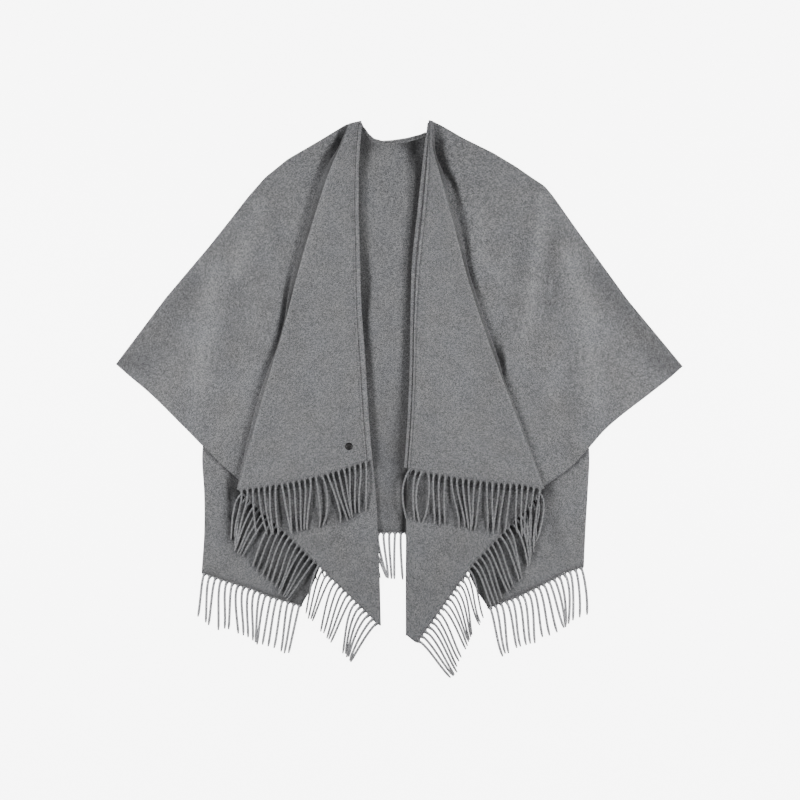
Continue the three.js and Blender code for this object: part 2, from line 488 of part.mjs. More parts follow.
const hems = {};
for (const side of ['left', 'right']) {
  const { grid, tag } = front(side), row = grid[grid.length - 1];
  hems[side] = { middle: row.filter((_, i) => tag[i] === 'middle'), centre: row.filter((_, i) => tag[i] === 'centre') };
  add(`front_${side}_panel`, wall(grid, WALL / 2));
  const first = tag.lastIndexOf('fold') + 1, last = grid[0].length - 1;
  const rails = grid.map(line => {
    const p = line[last], q = line[last - 1], width = p.distanceTo(q);
    return [p, p.clone().lerp(q, Math.min(0.98, BAND / width))];
  });
  const trimmed = rails.slice(1).map(([p, q], i) => {
    const r = rails[i], along = p.clone().sub(r[0]), across = q.clone().sub(p);
    const n = along.cross(across).normalize();
    if (n.z < 0) n.negate();
    return [p, q, n];
  });
  add(`front_${side}_band`, band(trimmed, 1));
  if (side === 'left') {
    const spot = { x: -102.4, y: -92.6 }, on = facet(grid, spot.x, spot.y, [first, last]);
    const disc = new THREE.LatheGeometry([[0, 0], [6.6, 0], [7.5, 0.7], [7.5, 1.2], [6.2, 2.1], [3.4, 2.6], [0, 2.7]].map(p => new THREE.Vector2(...p)), 24);
    disc.deleteAttribute('uv'); disc.deleteAttribute('normal');
    const stud = mergeVertices(disc, 1e-3);
    stud.applyQuaternion(new THREE.Quaternion().setFromUnitVectors(new THREE.Vector3(0, 1, 0), on.n));
    const rise = WALL / 2 + SEAM + 0.1;
    stud.translate(spot.x + on.n.x * rise, spot.y + on.n.y * rise, on.z + on.n.z * rise);
    add('stud', fromManifold(toManifold(stud)));
  }
}

// Neck band between the fronts, on the back's first two rows.
const neckColumns = [...Array(backSheet.middle).keys()].map(i => backSheet.columns + i)
  .filter(c => { const p = backSheet.grid[0][c]; return p.x > -70 && p.x < 46 && p.y < 545; });
add('neck_band', band(neckColumns.map(c => {
  const p = backSheet.grid[0][c], q = backSheet.grid[1][c];
  return [p, p.clone().lerp(q, Math.min(0.98, BAND / p.distanceTo(q))), new THREE.Vector3(0, 0, 1)];
}), 1));

const backRow = backSheet.grid[backSheet.grid.length - 1];
const turnedAt = topColumns, floorAt = backSheet.columns;
const backHems = {
  left: backRow.slice(turnedAt, turnedAt + 6).reverse(),
  floor: backRow.slice(floorAt, floorAt + backSheet.middle),
  right: backRow.slice(backSheet.total - turnedAt - 6, backSheet.total - turnedAt),
};
add('fringe_left_turned', fringe('left', 4, hems.left.middle, LAY.leftTurned, [0.01, 0.985]));
add('fringe_left_top', fringe('left', 5, hems.left.centre, LAY.leftTop, [0.01, 0.98]));
add('fringe_right_turned', fringe('right', 4, hems.right.middle, LAY.rightTurned, [0.07, 0.985]));
add('fringe_right_top', fringe('right', 5, hems.right.centre, LAY.rightTop, [0.01, 0.98]));
add('fringe_back_left', fringe('left', 1, backHems.left, LAY.backLeft, [0.01, 0.99]));
add('fringe_back_right', fringe('right', 1, backHems.right, LAY.backRight, [0.01, 0.99]));
add('fringe_back', fringe('left', 0, backHems.floor, LAY.back, [0.07, 0.93]));

// The frame: middle of the outline over the origin, underside on the floor.
const box = new THREE.Box3().setFromObject(group);
const shift = [-(box.min.x + box.max.x) / 2, -(box.min.y + box.max.y) / 2, -box.min.z];
let triangles = 0;
for (const mesh of group.children) {
  mesh.geometry.translate(...shift);
  triangles += mesh.geometry.index.count / 3;
}
console.error('strands', COUNT.strands, 'triangles', triangles, 'size', box.max.clone().sub(box.min).toArray().map(v => v.toFixed(1)).join(' x '), 'shift', shift.map(v => v.toFixed(2)).join(' '));

export default group;
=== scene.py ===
"""Fringed poncho wrap, spread flat on its back with both fronts pleated, seen from straight above."""
import math

import bmesh
import bpy
import numpy as np
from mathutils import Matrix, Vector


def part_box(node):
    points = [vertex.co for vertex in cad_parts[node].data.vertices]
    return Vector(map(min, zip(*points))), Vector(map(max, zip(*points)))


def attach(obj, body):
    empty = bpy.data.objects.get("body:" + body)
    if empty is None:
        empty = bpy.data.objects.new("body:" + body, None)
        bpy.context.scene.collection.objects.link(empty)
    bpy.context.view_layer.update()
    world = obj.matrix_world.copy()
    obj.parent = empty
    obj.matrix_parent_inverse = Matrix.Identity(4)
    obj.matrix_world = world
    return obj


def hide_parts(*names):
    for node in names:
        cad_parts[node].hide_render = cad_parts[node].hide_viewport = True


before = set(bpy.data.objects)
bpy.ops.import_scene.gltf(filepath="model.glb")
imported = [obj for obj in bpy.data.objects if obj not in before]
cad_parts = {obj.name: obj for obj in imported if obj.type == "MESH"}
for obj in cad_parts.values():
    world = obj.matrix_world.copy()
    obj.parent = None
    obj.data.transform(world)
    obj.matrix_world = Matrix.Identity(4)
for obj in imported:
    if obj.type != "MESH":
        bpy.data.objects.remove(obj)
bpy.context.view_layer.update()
MM = 0.001


# The camera hangs straight over the wrap, and two large soft lamps stand low on its left and right,
# so that each raised edge throws a soft shade on the ply below it.
BACK_PLAN = (0.5, 69.5)  # middle of the back panel in the plan that the tables below use
lowest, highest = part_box("back_panel")
PLAN_SHIFT = np.array([
    (lowest[0] + highest[0]) / 2 - BACK_PLAN[0] * MM,
    (lowest[1] + highest[1]) / 2 - BACK_PLAN[1] * MM,
])
VIEW_WIDTH = 1.600
LENS = 100.0

camera_data = bpy.data.cameras.new("camera")
camera_data.lens = LENS
camera_data.sensor_width = 36.0
camera_data.clip_end = 50.0
camera = bpy.data.objects.new("camera", camera_data)
camera.location = (PLAN_SHIFT[0], PLAN_SHIFT[1], VIEW_WIDTH * LENS / 36.0 + 0.012)
bpy.context.scene.collection.objects.link(camera)
bpy.context.scene.camera = camera

LAMPS = [
    # name, place, width, power, warmth
    ("lamp_left", (-1.30, 0.15, 1.05), 0.40, 17.5, (1.0, 1.0, 1.0)),
    ("lamp_right", (1.30, 0.15, 1.05), 0.40, 17.5, (1.0, 1.0, 1.0)),
    ("lamp_over", (0.0, 0.30, 2.4), 1.4, 9.0, (1.0, 1.0, 1.0)),
]
for name, place, width, power, colour in LAMPS:
    lamp_data = bpy.data.lights.new(name, "AREA")
    lamp_data.shape = "SQUARE"
    lamp_data.size = width
    lamp_data.energy = power
    lamp_data.color = colour
    lamp = bpy.data.objects.new(name, lamp_data)
    lamp.location = place
    aim = np.array([0.0, 0.0, 0.0]) - np.array(place)
    lamp.rotation_euler = (
        math.atan2(math.hypot(aim[0], aim[1]), -aim[2]),
        0.0,
        math.atan2(aim[1], aim[0]) - math.pi / 2,
    )
    bpy.context.scene.collection.objects.link(lamp)

world = bpy.data.worlds.new("studio")
world.use_nodes = True
world.node_tree.nodes["Background"].inputs["Color"].default_value = (1.0, 1.0, 1.0, 1.0)
world.node_tree.nodes["Background"].inputs["Strength"].default_value = 0.12
bpy.context.scene.world = world


# The plain white paper that the wrap lies on.
def linked(mesh_name, bm):
    """Object at the origin from a finished bmesh."""
    mesh = bpy.data.meshes.new(mesh_name)
    bm.to_mesh(mesh)
    bm.free()
    obj = bpy.data.objects.new(mesh_name, mesh)
    bpy.context.scene.collection.objects.link(obj)
    return obj


bm = bmesh.new()
bmesh.ops.create_grid(bm, x_segments=1, y_segments=1, size=6.0)
paper = linked("paper", bm)
paper_material = bpy.data.materials.new("white_paper")
paper_material.use_nodes = True
paper_shader = paper_material.node_tree.nodes["Principled BSDF"]
paper_shader.inputs["Base Color"].default_value = (0.9, 0.9, 0.9, 1.0)
paper_shader.inputs["Roughness"].default_value = 0.9
paper_shader.inputs["Emission Color"].default_value = (1.0, 1.0, 1.0, 1.0)
paper_nodes, paper_links = paper_material.node_tree.nodes, paper_material.node_tree.links
seen = paper_nodes.new("ShaderNodeLightPath")
glow = paper_nodes.new("ShaderNodeMapRange")  # bright to the eye, and only a little light on the wool
glow.inputs["To Min"].default_value = 0.25
glow.inputs["To Max"].default_value = 7.0
paper_links.new(seen.outputs["Is Camera Ray"], glow.inputs["Value"])
paper_links.new(glow.outputs["Result"], paper_shader.inputs["Emission Strength"])
paper.data.materials.append(paper_material)


# The cloth: one oblong of grey heathered wool, slit up the front. The fronts lie over the back, and
# each is pleated twice like a fan from the neck corner. Each table has a row for each section from
# the shoulder to the hem, with places in millimetres in plan.
CLOTH = 1.4
PLY = 2.6
FRONT = {
    # share of the way to the hem, selvedge, fold near the slit, fold that shows, front edge,
    # rise of the fold that shows, rise of the front edge
    "left": [
        (0.00, (-568, 70.5), (-92, 553), (-101.5, 552), (-77, 557), 2.0, 2.0),
        (0.05, (-540, 46), (-90.5, 502), (-116, 516), (-80, 524), 7.0, 3.5),
        (0.10, (-511, 22), (-89, 452), (-134, 475), (-82.5, 490), 13.0, 5.0),
        (0.25, (-431, -56), (-88, 300), (-172, 365), (-84, 388), 9.0, 5.0),
        (0.40, (-354, -132), (-84, 149), (-204, 256), (-81.5, 287), 9.0, 6.0),
        (0.55, (-266.5, -209.5), (-74, -1), (-232.5, 147), (-78.5, 185), 7.0, 5.0),
        (0.70, (-189.5, -289.5), (-52, -152), (-265, 38), (-71, 83), 7.0, 4.0),
        (0.85, (-113, -368), (-43, -304), (-296, -72), (-65, -18), 5.0, 3.0),
        (1.00, (-50, -446), (-38.6, -452), (-325, -179), (-57, -120), 2.5, 1.5),
    ],
    "right": [
        (0.00, (565.2, 66), (60, 556), (65, 556.5), (57, 558), 2.0, 2.0),
        (0.05, (538, 42), (54.5, 503), (65.5, 506), (52, 522), 8.0, 4.5),
        (0.10, (508, 18.5), (49, 451), (78, 458), (48, 487), 14.0, 7.0),
        (0.25, (416.5, -54), (32, 298), (108, 350), (37, 383), 11.0, 7.0),
        (0.40, (342, -134), (28, 145), (136, 243), (26, 279), 9.0, 5.0),
        (0.55, (245, -205), (25, -8), (171, 136), (22.5, 175), 8.0, 4.0),
        (0.70, (168, -292), (15, -161), (209, 31), (21, 71), 8.0, 3.0),
        (0.85, (92, -380), (12, -314), (249, -74), (17, -33), 4.0, 2.5),
        (1.00, (24, -466), (12, -472), (288, -177), (10, -135), 2.5, 1.5),
    ],
}
FRONT_COLUMNS = {"selvedge": 1, "inner": 2, "outer": 3, "edge": 4, "rise": 5, "lift": 6}
BACK = {
    # share of the way to the hem, fold on the floor, fold hidden above it, selvedge of the top ply,
    # rise of the floor fold
    "left": [
        (0.00, (-296, 416), (-282, 431), (-563, 73), 0.5),
        (0.10, (-307, 348), (-270, 339), (-500, 34), 2.0),
        (0.25, (-330, 236), (-243, 206), (-428, -28), 1.2),
        (0.40, (-354, 121), (-216, 73), (-350, -94), 1.2),
        (0.55, (-377, 6), (-190, -60), (-274, -166), 1.2),
        (0.70, (-396, -110), (-163, -193), (-196, -232), 1.5),
        (0.80, (-392, -188), (-145, -282), (-155, -275), 2.0),
        (0.90, (-392, -266), (-163, -346), (-173, -346), 2.0),
        (1.00, (-397, -345), (-194, -413.5), (-204, -412), 1.5),
    ],
    "right": [
        (0.00, (303, 408), (290, 424), (564, 66), 0.5),
        (0.10, (312, 338), (272, 332), (497, 29), 2.0),
        (0.25, (329, 226), (241, 201), (420, -34), 1.2),
        (0.40, (347, 115), (211, 69), (345, -98), 1.2),
        (0.55, (364, 3), (181, -63), (262, -162), 1.2),
        (0.70, (379, -108), (150, -194), (182, -232), 1.5),
        (0.80, (376, -182), (130, -282), (140, -274), 2.0),
        (0.90, (371.5, -258), (138, -350), (148, -350), 2.0),
        (1.00, (368, -333), (173, -418), (183, -418), 1.5),
    ],
}
BACK_COLUMNS = {"outer": 1, "inner": 2, "selvedge": 3, "rise": 4}
BACK_FOLD_ENDS = 0.8  # share of the way to the hem at which the selvedge has met the hidden fold
EDGES = {
    "left": {
        "shoulder": [(-92, 553), (-105.5, 550.4), (-161.2, 516.7), (-222.3, 481.4), (-265.5, 446.5),
                     (-300, 407), (-381, 305.6), (-467.3, 203.8), (-568, 70.5)],
        "turned_hem": [(-38.6, -452), (-156, -337), (-226, -267), (-289, -210), (-325, -179)],
        "top_hem": [(-325, -179), (-307, -177), (-228, -165), (-148, -147), (-69, -122), (-57, -120)],
        "back_hem": [(-397, -345), (-360, -359), (-296, -379), (-260, -394), (-194, -413.5)],
    },
    "right": {
        "shoulder": [(60, 556), (65, 556), (82, 547.8), (123, 524), (184, 494), (231, 465.8), (287, 427),
                     (303, 408), (368, 318), (454, 200), (565.2, 66)],
        "turned_hem": [(12, -472), (32, -488), (101, -390), (147, -325), (203, -267), (288, -177)],
        "top_hem": [(288, -177), (239, -167), (192, -164), (119, -155), (43, -142), (10, -135)],
        "back_hem": [(368, -333), (338, -343), (271, -377), (234, -395), (173, -418)],
    },
}
NECK = [(-105, 551), (-77, 557), (-71, 545), (-63, 533), (-52, 523), (-36, 518.5), (-17, 519.5), (13, 524),
        (40, 531), (54, 537), (57, 558)]
FLOOR_HEM = [(-395, -345), (-370, -312), (-320, -290), (-200, -270), (-17, -265), (200, -270),
             (320, -290), (345, -305), (366, -334)]

# Long soft swells and troughs that run down the fronts: from, to, height, half width.
SWELLS = {
    "left": [
        ((-120, 470), (-200, 240), 2.5, 20),
        ((-368, 250), (-408, 30), 5.5, 20),
        ((-282, 384), (-326, 250), 4.5, 20),
        ((-410, 230), (-500, 60), -3.0, 26),
        ((-320, 230), (-345, 60), -2.5, 20),
        ((-246, 262), (-222, 300), 5.0, 10),
        ((-300, 60), (-322, -100), 2.5, 18),
    ],
    "right": [
        ((112, 480), (124, 424), 5.0, 11),
        ((124, 424), (142, 340), 5.0, 11),
        ((142, 340), (158, 262), 4.0, 10),
        ((156, 385), (164, 290), 4.0, 13),
        ((164, 290), (206, 236), 3.0, 13),
        ((284, 400), (262, 220), 5.5, 15),
        ((262, 220), (238, 70), 4.0, 15),
        ((336, 296), (376, 160), 5.0, 20),
        ((376, 160), (396, 0), 4.0, 22),
        ((304, 320), (300, 190), -3.5, 14),
        ((400, 250), (510, 90), -3.5, 26),
        ((222, 190), (224, 120), -2.0, 12),
        ((306, 70), (300, 10), 2.5, 14),
    ],
}
# Soft shade on one ply, where light is kept off it: from, to, how dark, half width, level of the ply.
# A darkness below nothing is light that is caught. The ply on the floor belongs to both sides.
SHADES = {
    "left": [
        ((-548, 84), (-420, 236), 0.14, 24, 3),
        ((-562, 74), (-520, 92), 0.14, 30, 3),
        ((-318, 400), (-300, 330), 0.12, 14, 3),
        ((-345, 270), (-362, 200), 0.08, 12, 3),
        ((-340, -152), (-341, -195), 0.80, 7, 1),
        ((-341, -195), (-341, -235), 0.62, 6, 1),
        ((-341, -235), (-342, -275), 0.40, 7, 1),
        ((-334, -180), (-344, -280), 0.20, 20, 1),
        ((-200, -340), (-172, -352), 0.40, 22, 1),
        ((-312, -190), (-216, -336), 0.20, 32, 1),
        ((-130, -150), (-114, -236), 0.36, 14, 4),
        ((-104, -150), (-90, -226), 0.30, 10, 4),
        ((-188, -176), (-188, -238), 0.36, 10, 4),
        ((-228, -190), (-240, -240), 0.24, 12, 4),
        ((-316, -56), (-334, -140), 0.18, 14, 3),
        ((-550, 72), (-520, 62), 0.16, 14, 3),
        ((-112, 330), (-180, -60), -0.025, 60, 5),
    ],
    "right": [
        ((400, 250), (552, 74), 0.14, 28, 3),
        ((562, 68), (520, 88), 0.14, 30, 3),
        ((312, 330), (302, 160), 0.10, 12, 3),
        ((250, 330), (238, 250), 0.10, 12, 3),
        ((346, 50), (336, -110), 0.10, 14, 3),
        ((296, -185), (312, -270), 0.24, 18, 1),
        ((250, -236), (258, -300), 0.55, 13, 1),
        ((190, -310), (200, -376), 0.35, 12, 1),
        ((252, -190), (206, -340), 0.12, 24, 1),
        ((203, 108), (206, 48), 0.30, 7, 3),
        ((552, 66), (524, 58), 0.16, 14, 3),
        ((66, 320), (110, -60), -0.05, 60, 5),
        ((150, -330), (184, -380), 0.34, 20, 1),
        ((132, -170), (128, -226), 0.34, 10, 4),
    ],
    "floor": [
        ((-66, 546), (-44, 530), 0.30, 10, 0),
        ((8, 512), (26, 506), 0.35, 12, 0),
        ((7, -150), (7, -268), 0.80, 7, 0),
        ((26, 522), (22, 480), 0.45, 12, 0),
        ((-52, 516), (30, 524), 0.26, 16, 0),
    ],
}

# The side of the fold that shows, under its crease: share of the way to the hem, how far its roll
# stands out past the crease and how dark the painted shade on the roll is, then how far from the crease
# the hollow at its foot lies, its half width and how dark the painted shade in it is.
FOLD_SIDES = {
    "left": [
        (0.000, 1, 0.10, 6, 8, 0.10),
        (0.020, 2, 0.35, 6, 7, 0.60),
        (0.042, 3, 0.45, 8, 9, 0.88),
        (0.065, 3, 0.60, 9, 11, 0.82),
        (0.100, 9, 0.55, 14, 12, 0.58),
        (0.147, 12, 0.38, 12, 12, 0.24),
        (0.215, 13, 0.42, 17, 10, 0.22),
        (0.283, 13, 0.44, 17, 9, 0.22),
        (0.360, 12, 0.42, 12, 8, 0.18),
        (0.430, 11, 0.50, 15, 7, 0.46),
        (0.475, 9, 0.60, 12.5, 6, 0.80),
        (0.530, 3, 0.60, 6, 7, 0.86),
        (0.575, 2, 0.60, 4, 6, 0.86),
        (0.613, 1, 0.45, 5, 7, 0.66),
        (0.680, 7, 0.32, 10, 9, 0.34),
        (0.750, 10, 0.26, 12, 12, 0.22),
        (0.867, 8, 0.25, 12, 6, 0.40),
        (1.000, 2, 0.10, 6, 6, 0.20),
    ],
    "right": [
        (0.000, 2, 0.10, 10, 8, 0.05),
        (0.020, 5, 0.20, 13, 11, 0.30),
        (0.037, 6, 0.42, 14, 12, 0.64),
        (0.057, 5, 0.55, 12, 12.5, 0.78),
        (0.078, 5, 0.60, 11.5, 10.5, 0.82),
        (0.102, 9, 0.50, 14, 9, 0.80),
        (0.136, 12, 0.34, 23, 6, 0.86),
        (0.178, 4, 0.14, 25, 5, 0.62),
        (0.215, 12, 0.16, 22, 8, 0.44),
        (0.262, 12, 0.24, 20, 7, 0.44),
        (0.305, 11, 0.28, 18, 6, 0.62),
        (0.352, 8, 0.48, 11, 7, 0.50),
        (0.405, 7, 0.50, 8, 7, 0.68),
        (0.462, 8, 0.38, 9, 8, 0.26),
        (0.520, 8, 0.34, 8, 9, 0.18),
        (0.575, 9, 0.32, 12, 10, 0.26),
        (0.632, 8, 0.52, 13.5, 7, 0.90),
        (0.690, 3, 0.45, 4, 6, 0.50),
        (0.750, 5, 0.25, 7, 8, 0.24),
        (0.850, 4, 0.18, 6, 7, 0.16),
        (1.000, 1, 0.10, 5, 6, 0.10),
    ],
}
# Shade on the back beside each front edge: share of the way to the hem, how far it reaches, how dark
# it is and how softly it ends.
SLITS = {
    "left": [(0.00, 8, 0.40, 2.0), (0.03, 16, 0.60, 3.0), (0.07, 26, 0.74, 5.0), (0.115, 20, 0.46, 4.0),
             (0.173, 9, 0.38, 2.0), (0.26, 7, 0.44, 1.5), (0.35, 12, 0.38, 1.8), (0.42, 20, 0.48, 1.6),
             (0.47, 24, 0.58, 1.2), (0.53, 19, 0.70, 1.2), (0.587, 13, 0.84, 1.2), (0.64, 12, 0.80, 1.2),
             (0.70, 14, 0.62, 1.5), (0.82, 15, 0.36, 2.5), (0.94, 18, 0.36, 3.0), (1.00, 20, 0.34, 3.0)],
    "right": [(0.00, 36, 0.44, 5.0), (0.07, 40, 0.52, 5.0), (0.105, 19, 0.76, 2.5), (0.16, 13, 0.88, 1.5),
              (0.25, 11.5, 0.84, 1.4), (0.35, 10.5, 0.84, 1.6), (0.47, 10, 0.82, 1.8), (0.587, 12, 0.66, 2.5),
              (0.71, 18, 0.52, 4.0), (0.82, 24, 0.46, 4.0), (0.94, 28, 0.44, 4.0), (1.00, 28, 0.42, 4.0)],
}


def column(table, index, at):
    """Smooth curve through one column of a table of sections, at the given rows."""
    rows = np.array([row[0] for row in table])
    values = np.array([np.atleast_1d(row[index]) for row in table], dtype=float)
    at = np.atleast_1d(at)
    i = np.clip(np.searchsorted(rows, at, side="right") - 1, 0, len(rows) - 2)
    gap = (rows[i + 1] - rows[i])[:, None]
    t = (at - rows[i])[:, None] / gap
    slope = np.gradient(values, rows, axis=0)
    rise = (3 - 2 * t) * t * t
    bend = slope[i] * (1 - t) * (1 - t) * t - slope[i + 1] * t * t * (1 - t)
    return values[i] * (1 - rise) + values[i + 1] * rise + bend * gap


def along(line, shares):
    """Points at the given shares of a line's length."""
    line = np.array(line, dtype=float)
    steps = np.hypot(*np.diff(line, axis=0).T)
    reach = np.concatenate([[0], np.cumsum(steps)]) / steps.sum()
    shares = np.atleast_1d(shares)
    return np.stack([np.interp(shares, reach, line[:, 0]), np.interp(shares, reach, line[:, 1])], axis=1)


def distance(line, points, closed=False):
    """Distance from each point to a line, or to a closed outline, where inside is less than nothing."""
    line = np.array(line, dtype=float)
    start, end = line[:-1], line[1:]
    if closed:
        start, end = line, np.roll(line, -1, axis=0)
    best = np.full(len(points), 1e9)
    inside = np.zeros(len(points), dtype=bool)
    for (ax, ay), (bx, by) in zip(start, end):
        run = (bx - ax) ** 2 + (by - ay) ** 2 or 1.0
        t = np.clip(((points[:, 0] - ax) * (bx - ax) + (points[:, 1] - ay) * (by - ay)) / run, 0, 1)
        gap = np.hypot(points[:, 0] - ax - t * (bx - ax), points[:, 1] - ay - t * (by - ay))
        best = np.minimum(best, gap)
        if closed and ay != by:
            crossing = (ay > points[:, 1]) != (by > points[:, 1])
            inside ^= crossing & (points[:, 0] < ax + (bx - ax) * (points[:, 1] - ay) / (by - ay))
    return np.where(inside, -best, best)


# How the strands of each fringe lie, along the hem from its first corner.
LAY = {
    # share of the hem, heading in degrees, length
    "left_turned": [(0, -116, 97), (0.12, -112, 97), (0.25, -108, 98), (0.43, -107, 97), (0.455, -112, 96),
                    (0.47, -124, 95), (0.52, -117, 97), (0.6, -113, 98), (0.7, -113, 98), (0.8, -117, 97),
                    (0.88, -116, 96), (0.94, -106, 95), (1, -101, 90)],
    "left_top": [(0, -104, 90), (0.06, -100, 92), (0.12, -84, 93), (0.18, -76, 94), (0.24, -81, 96),
                 (0.3, -80, 98), (0.34, -91, 98), (0.4, -86, 100), (0.47, -82, 100), (0.6, -85, 100),
                 (0.645, -88, 100), (0.655, -72, 100), (0.73, -75, 98), (0.78, -79, 98), (0.86, -88, 98),
                 (0.93, -90, 97), (1, -93, 97)],
    "right_turned": [(0, -50, 102), (0.08, -53, 101), (0.2, -60, 100), (0.35, -66, 98), (0.41, -74, 98),
                     (0.43, -70, 98), (0.5, -66, 98), (0.6, -66, 98), (0.7, -68, 98), (0.8, -76, 97),
                     (0.88, -84, 96), (0.95, -92, 95), (1, -96, 92)],
    "right_top": [(0, -90, 96), (0.1, -92, 97), (0.2, -90, 97), (0.3, -98, 97), (0.38, -88, 97),
                  (0.46, -96, 97), (0.52, -90, 97), (0.6, -80, 97), (0.7, -84, 97), (0.8, -96, 97),
                  (0.9, -88, 97), (1, -94, 97)],
    "back_left": [(0, -107, 86), (0.05, -105, 86), (0.09, -99, 92), (0.14, -101, 94), (0.22, -90, 95),
                  (0.35, -91, 96), (0.5, -92, 97), (0.58, -96, 97), (0.66, -102, 97), (0.72, -97, 97),
                  (0.78, -104, 97), (0.86, -98, 97), (1, -104, 97)],
    "back_right": [(0, -76, 92), (0.06, -80, 94), (0.1, -85, 96), (0.22, -86, 97), (0.3, -78, 97),
                   (0.36, -72, 97), (0.45, -77, 97), (0.55, -81, 97), (0.7, -80, 97), (0.85, -81, 97),
                   (1, -76, 97)],
    "back_floor": [(0, -44, 52), (0.08, -60, 66), (0.2, -82, 90), (0.4, -74, 86), (0.455, -74, 90),
                   (0.478, -85, 92), (0.495, -89, 92), (0.51, -93, 92), (0.525, -88, 92), (0.54, -93, 92),
                   (0.6, -98, 90), (0.8, -98, 90), (0.92, -120, 66), (1, -136, 52)],
}
FRINGE_RISE = 3.4
FRINGES = [
    # node, side, level, hem, lay, part of the hem that has strands, half their width at its two ends,
    # how high they arch, how far they bunch
    ("fringe_left_turned", "left", 4, EDGES["left"]["turned_hem"], "left_turned",
     (0.01, 0.985), (2.6, 2.0), 4.4, 0.6),
    ("fringe_left_top", "left", 5, EDGES["left"]["top_hem"], "left_top",
     (0.01, 0.98), (2.0, 2.0), 4.6, 0.62),
    ("fringe_right_turned", "right", 4, EDGES["right"]["turned_hem"], "right_turned",
     (0.065, 0.985), (2.6, 2.0), 4.4, 0.6),
    ("fringe_right_top", "right", 5, EDGES["right"]["top_hem"], "right_top",
     (0.01, 0.98), (2.0, 2.0), 4.6, 0.62),
    ("fringe_back_left", "left", 1, EDGES["left"]["back_hem"], "back_left",
     (0.0, 0.99), (2.6, 2.6), 1.0, 0.25),
    ("fringe_back_right", "right", 1, EDGES["right"]["back_hem"], "back_right",
     (0.0, 0.99), (2.6, 2.6), 1.0, 0.25),
    ("fringe_back", "left", 0, FLOOR_HEM, "back_floor",
     (0.07, 0.93), (1.5, 1.5), 0.1, 0.1),
]
FLAT_ARCH = 2.0  # strands that arch less than this lie flat
# Strands that part from their neighbours in a wide bow: share of the hem, how far to the side.
BOWS = {
    "right_top": [(0.80, 0), (0.84, 14), (0.88, -10), (0.91, 0), (0.94, -15), (1.00, -15)],
    "left_top": [(0.58, 0), (0.62, 9), (0.66, 0), (0.92, 0), (0.98, -8), (1.00, -8)],
}


def lay_at(name, shares):
    """Heading in radians and length of the strands at shares of a hem."""
    table = np.array(LAY[name], dtype=float)
    heading = np.radians(np.interp(shares, table[:, 0], table[:, 1]))
    return heading, np.interp(shares, table[:, 0], table[:, 2])


def fringe_outline(line, name):
    """Outline of the ground that a fringe covers."""
    shares = np.linspace(0, 1, 13)
    heading, length = lay_at(name, shares)
    ends = along(line, shares) + np.stack([np.cos(heading), np.sin(heading)], axis=1) * (length + 4)[:, None]
    return np.concatenate([np.array(line, dtype=float), ends[::-1]])


def outlines(side):
    """Each ply and fringe on one side: its level in the stack, what it adds above it, and its outline."""
    steps = np.linspace(0, 1, 25)
    front, back, edges = FRONT[side], BACK[side], EDGES[side]
    track = {key: column(front, index, steps) for key, index in FRONT_COLUMNS.items()}
    behind = {key: column(back, index, steps) for key, index in BACK_COLUMNS.items()}
    floor = np.concatenate([
        NECK, column(BACK["right"], BACK_COLUMNS["outer"], steps), FLOOR_HEM[::-1],
        column(BACK["left"], BACK_COLUMNS["outer"], steps)[::-1],
    ])
    hidden = steps <= BACK_FOLD_ENDS
    return [
        (0, PLY, floor),
        (0, FRINGE_RISE, fringe_outline(FLOOR_HEM, "back_floor")),
        (1, PLY, np.concatenate([behind["outer"], edges["back_hem"], behind["inner"][::-1]])),
        (1, FRINGE_RISE, fringe_outline(edges["back_hem"], "back_" + side)),
        (2, PLY, np.concatenate([behind["inner"][hidden], behind["selvedge"][hidden][::-1]])),
        (3, PLY, np.concatenate([track["inner"], track["selvedge"][::-1], edges["shoulder"][::-1]])),
        (4, PLY, np.concatenate([track["inner"], edges["turned_hem"], track["outer"][::-1]])),
        (4, FRINGE_RISE, fringe_outline(edges["turned_hem"], side + "_turned")),
        (5, PLY, np.concatenate([track["outer"], edges["top_hem"], track["edge"][::-1]])),
    ]


PLIES = {side: outlines(side) for side in ("left", "right")}
DRAPE_NEAR, DRAPE_FAR = 6.0, 34.0  # an upper ply comes down to the lower one between these distances


def beside(table, index, points):
    """Distance from each point to one line of a table of sections, and the row nearest to it."""
    steps = np.linspace(0, 1, 160)
    line = column(table, index, steps)
    gaps = np.hypot(points[:, None, 0] - line[None, :, 0], points[:, None, 1] - line[None, :, 1])
    near = gaps.argmin(axis=1)
    return gaps[np.arange(len(points)), near], steps[near]


def rise_of(table, index_line, index_rise, points, wide):
    """Soft extra height over one line of a table of sections."""
    gap, share = beside(table, index_line, points)
    return column(table, index_rise, share)[:, 0] * np.exp(-((gap / wide) ** 2))


def ripple(points, pitch, seed):
    """Slow uneven waves of a cloth that was smoothed out by hand, between -1 and 1."""
    x, y = points[:, 0] / pitch, points[:, 1] / pitch
    return (
        np.sin(x * 1.3 + 0.7 * np.sin(y * 0.9 + seed) + seed)
        + np.sin(y * 1.1 - 0.6 * x + 1.9 * seed)
        + 0.6 * np.sin(2.3 * x + 1.7 * y + 0.5 * seed)
    ) / 2.6


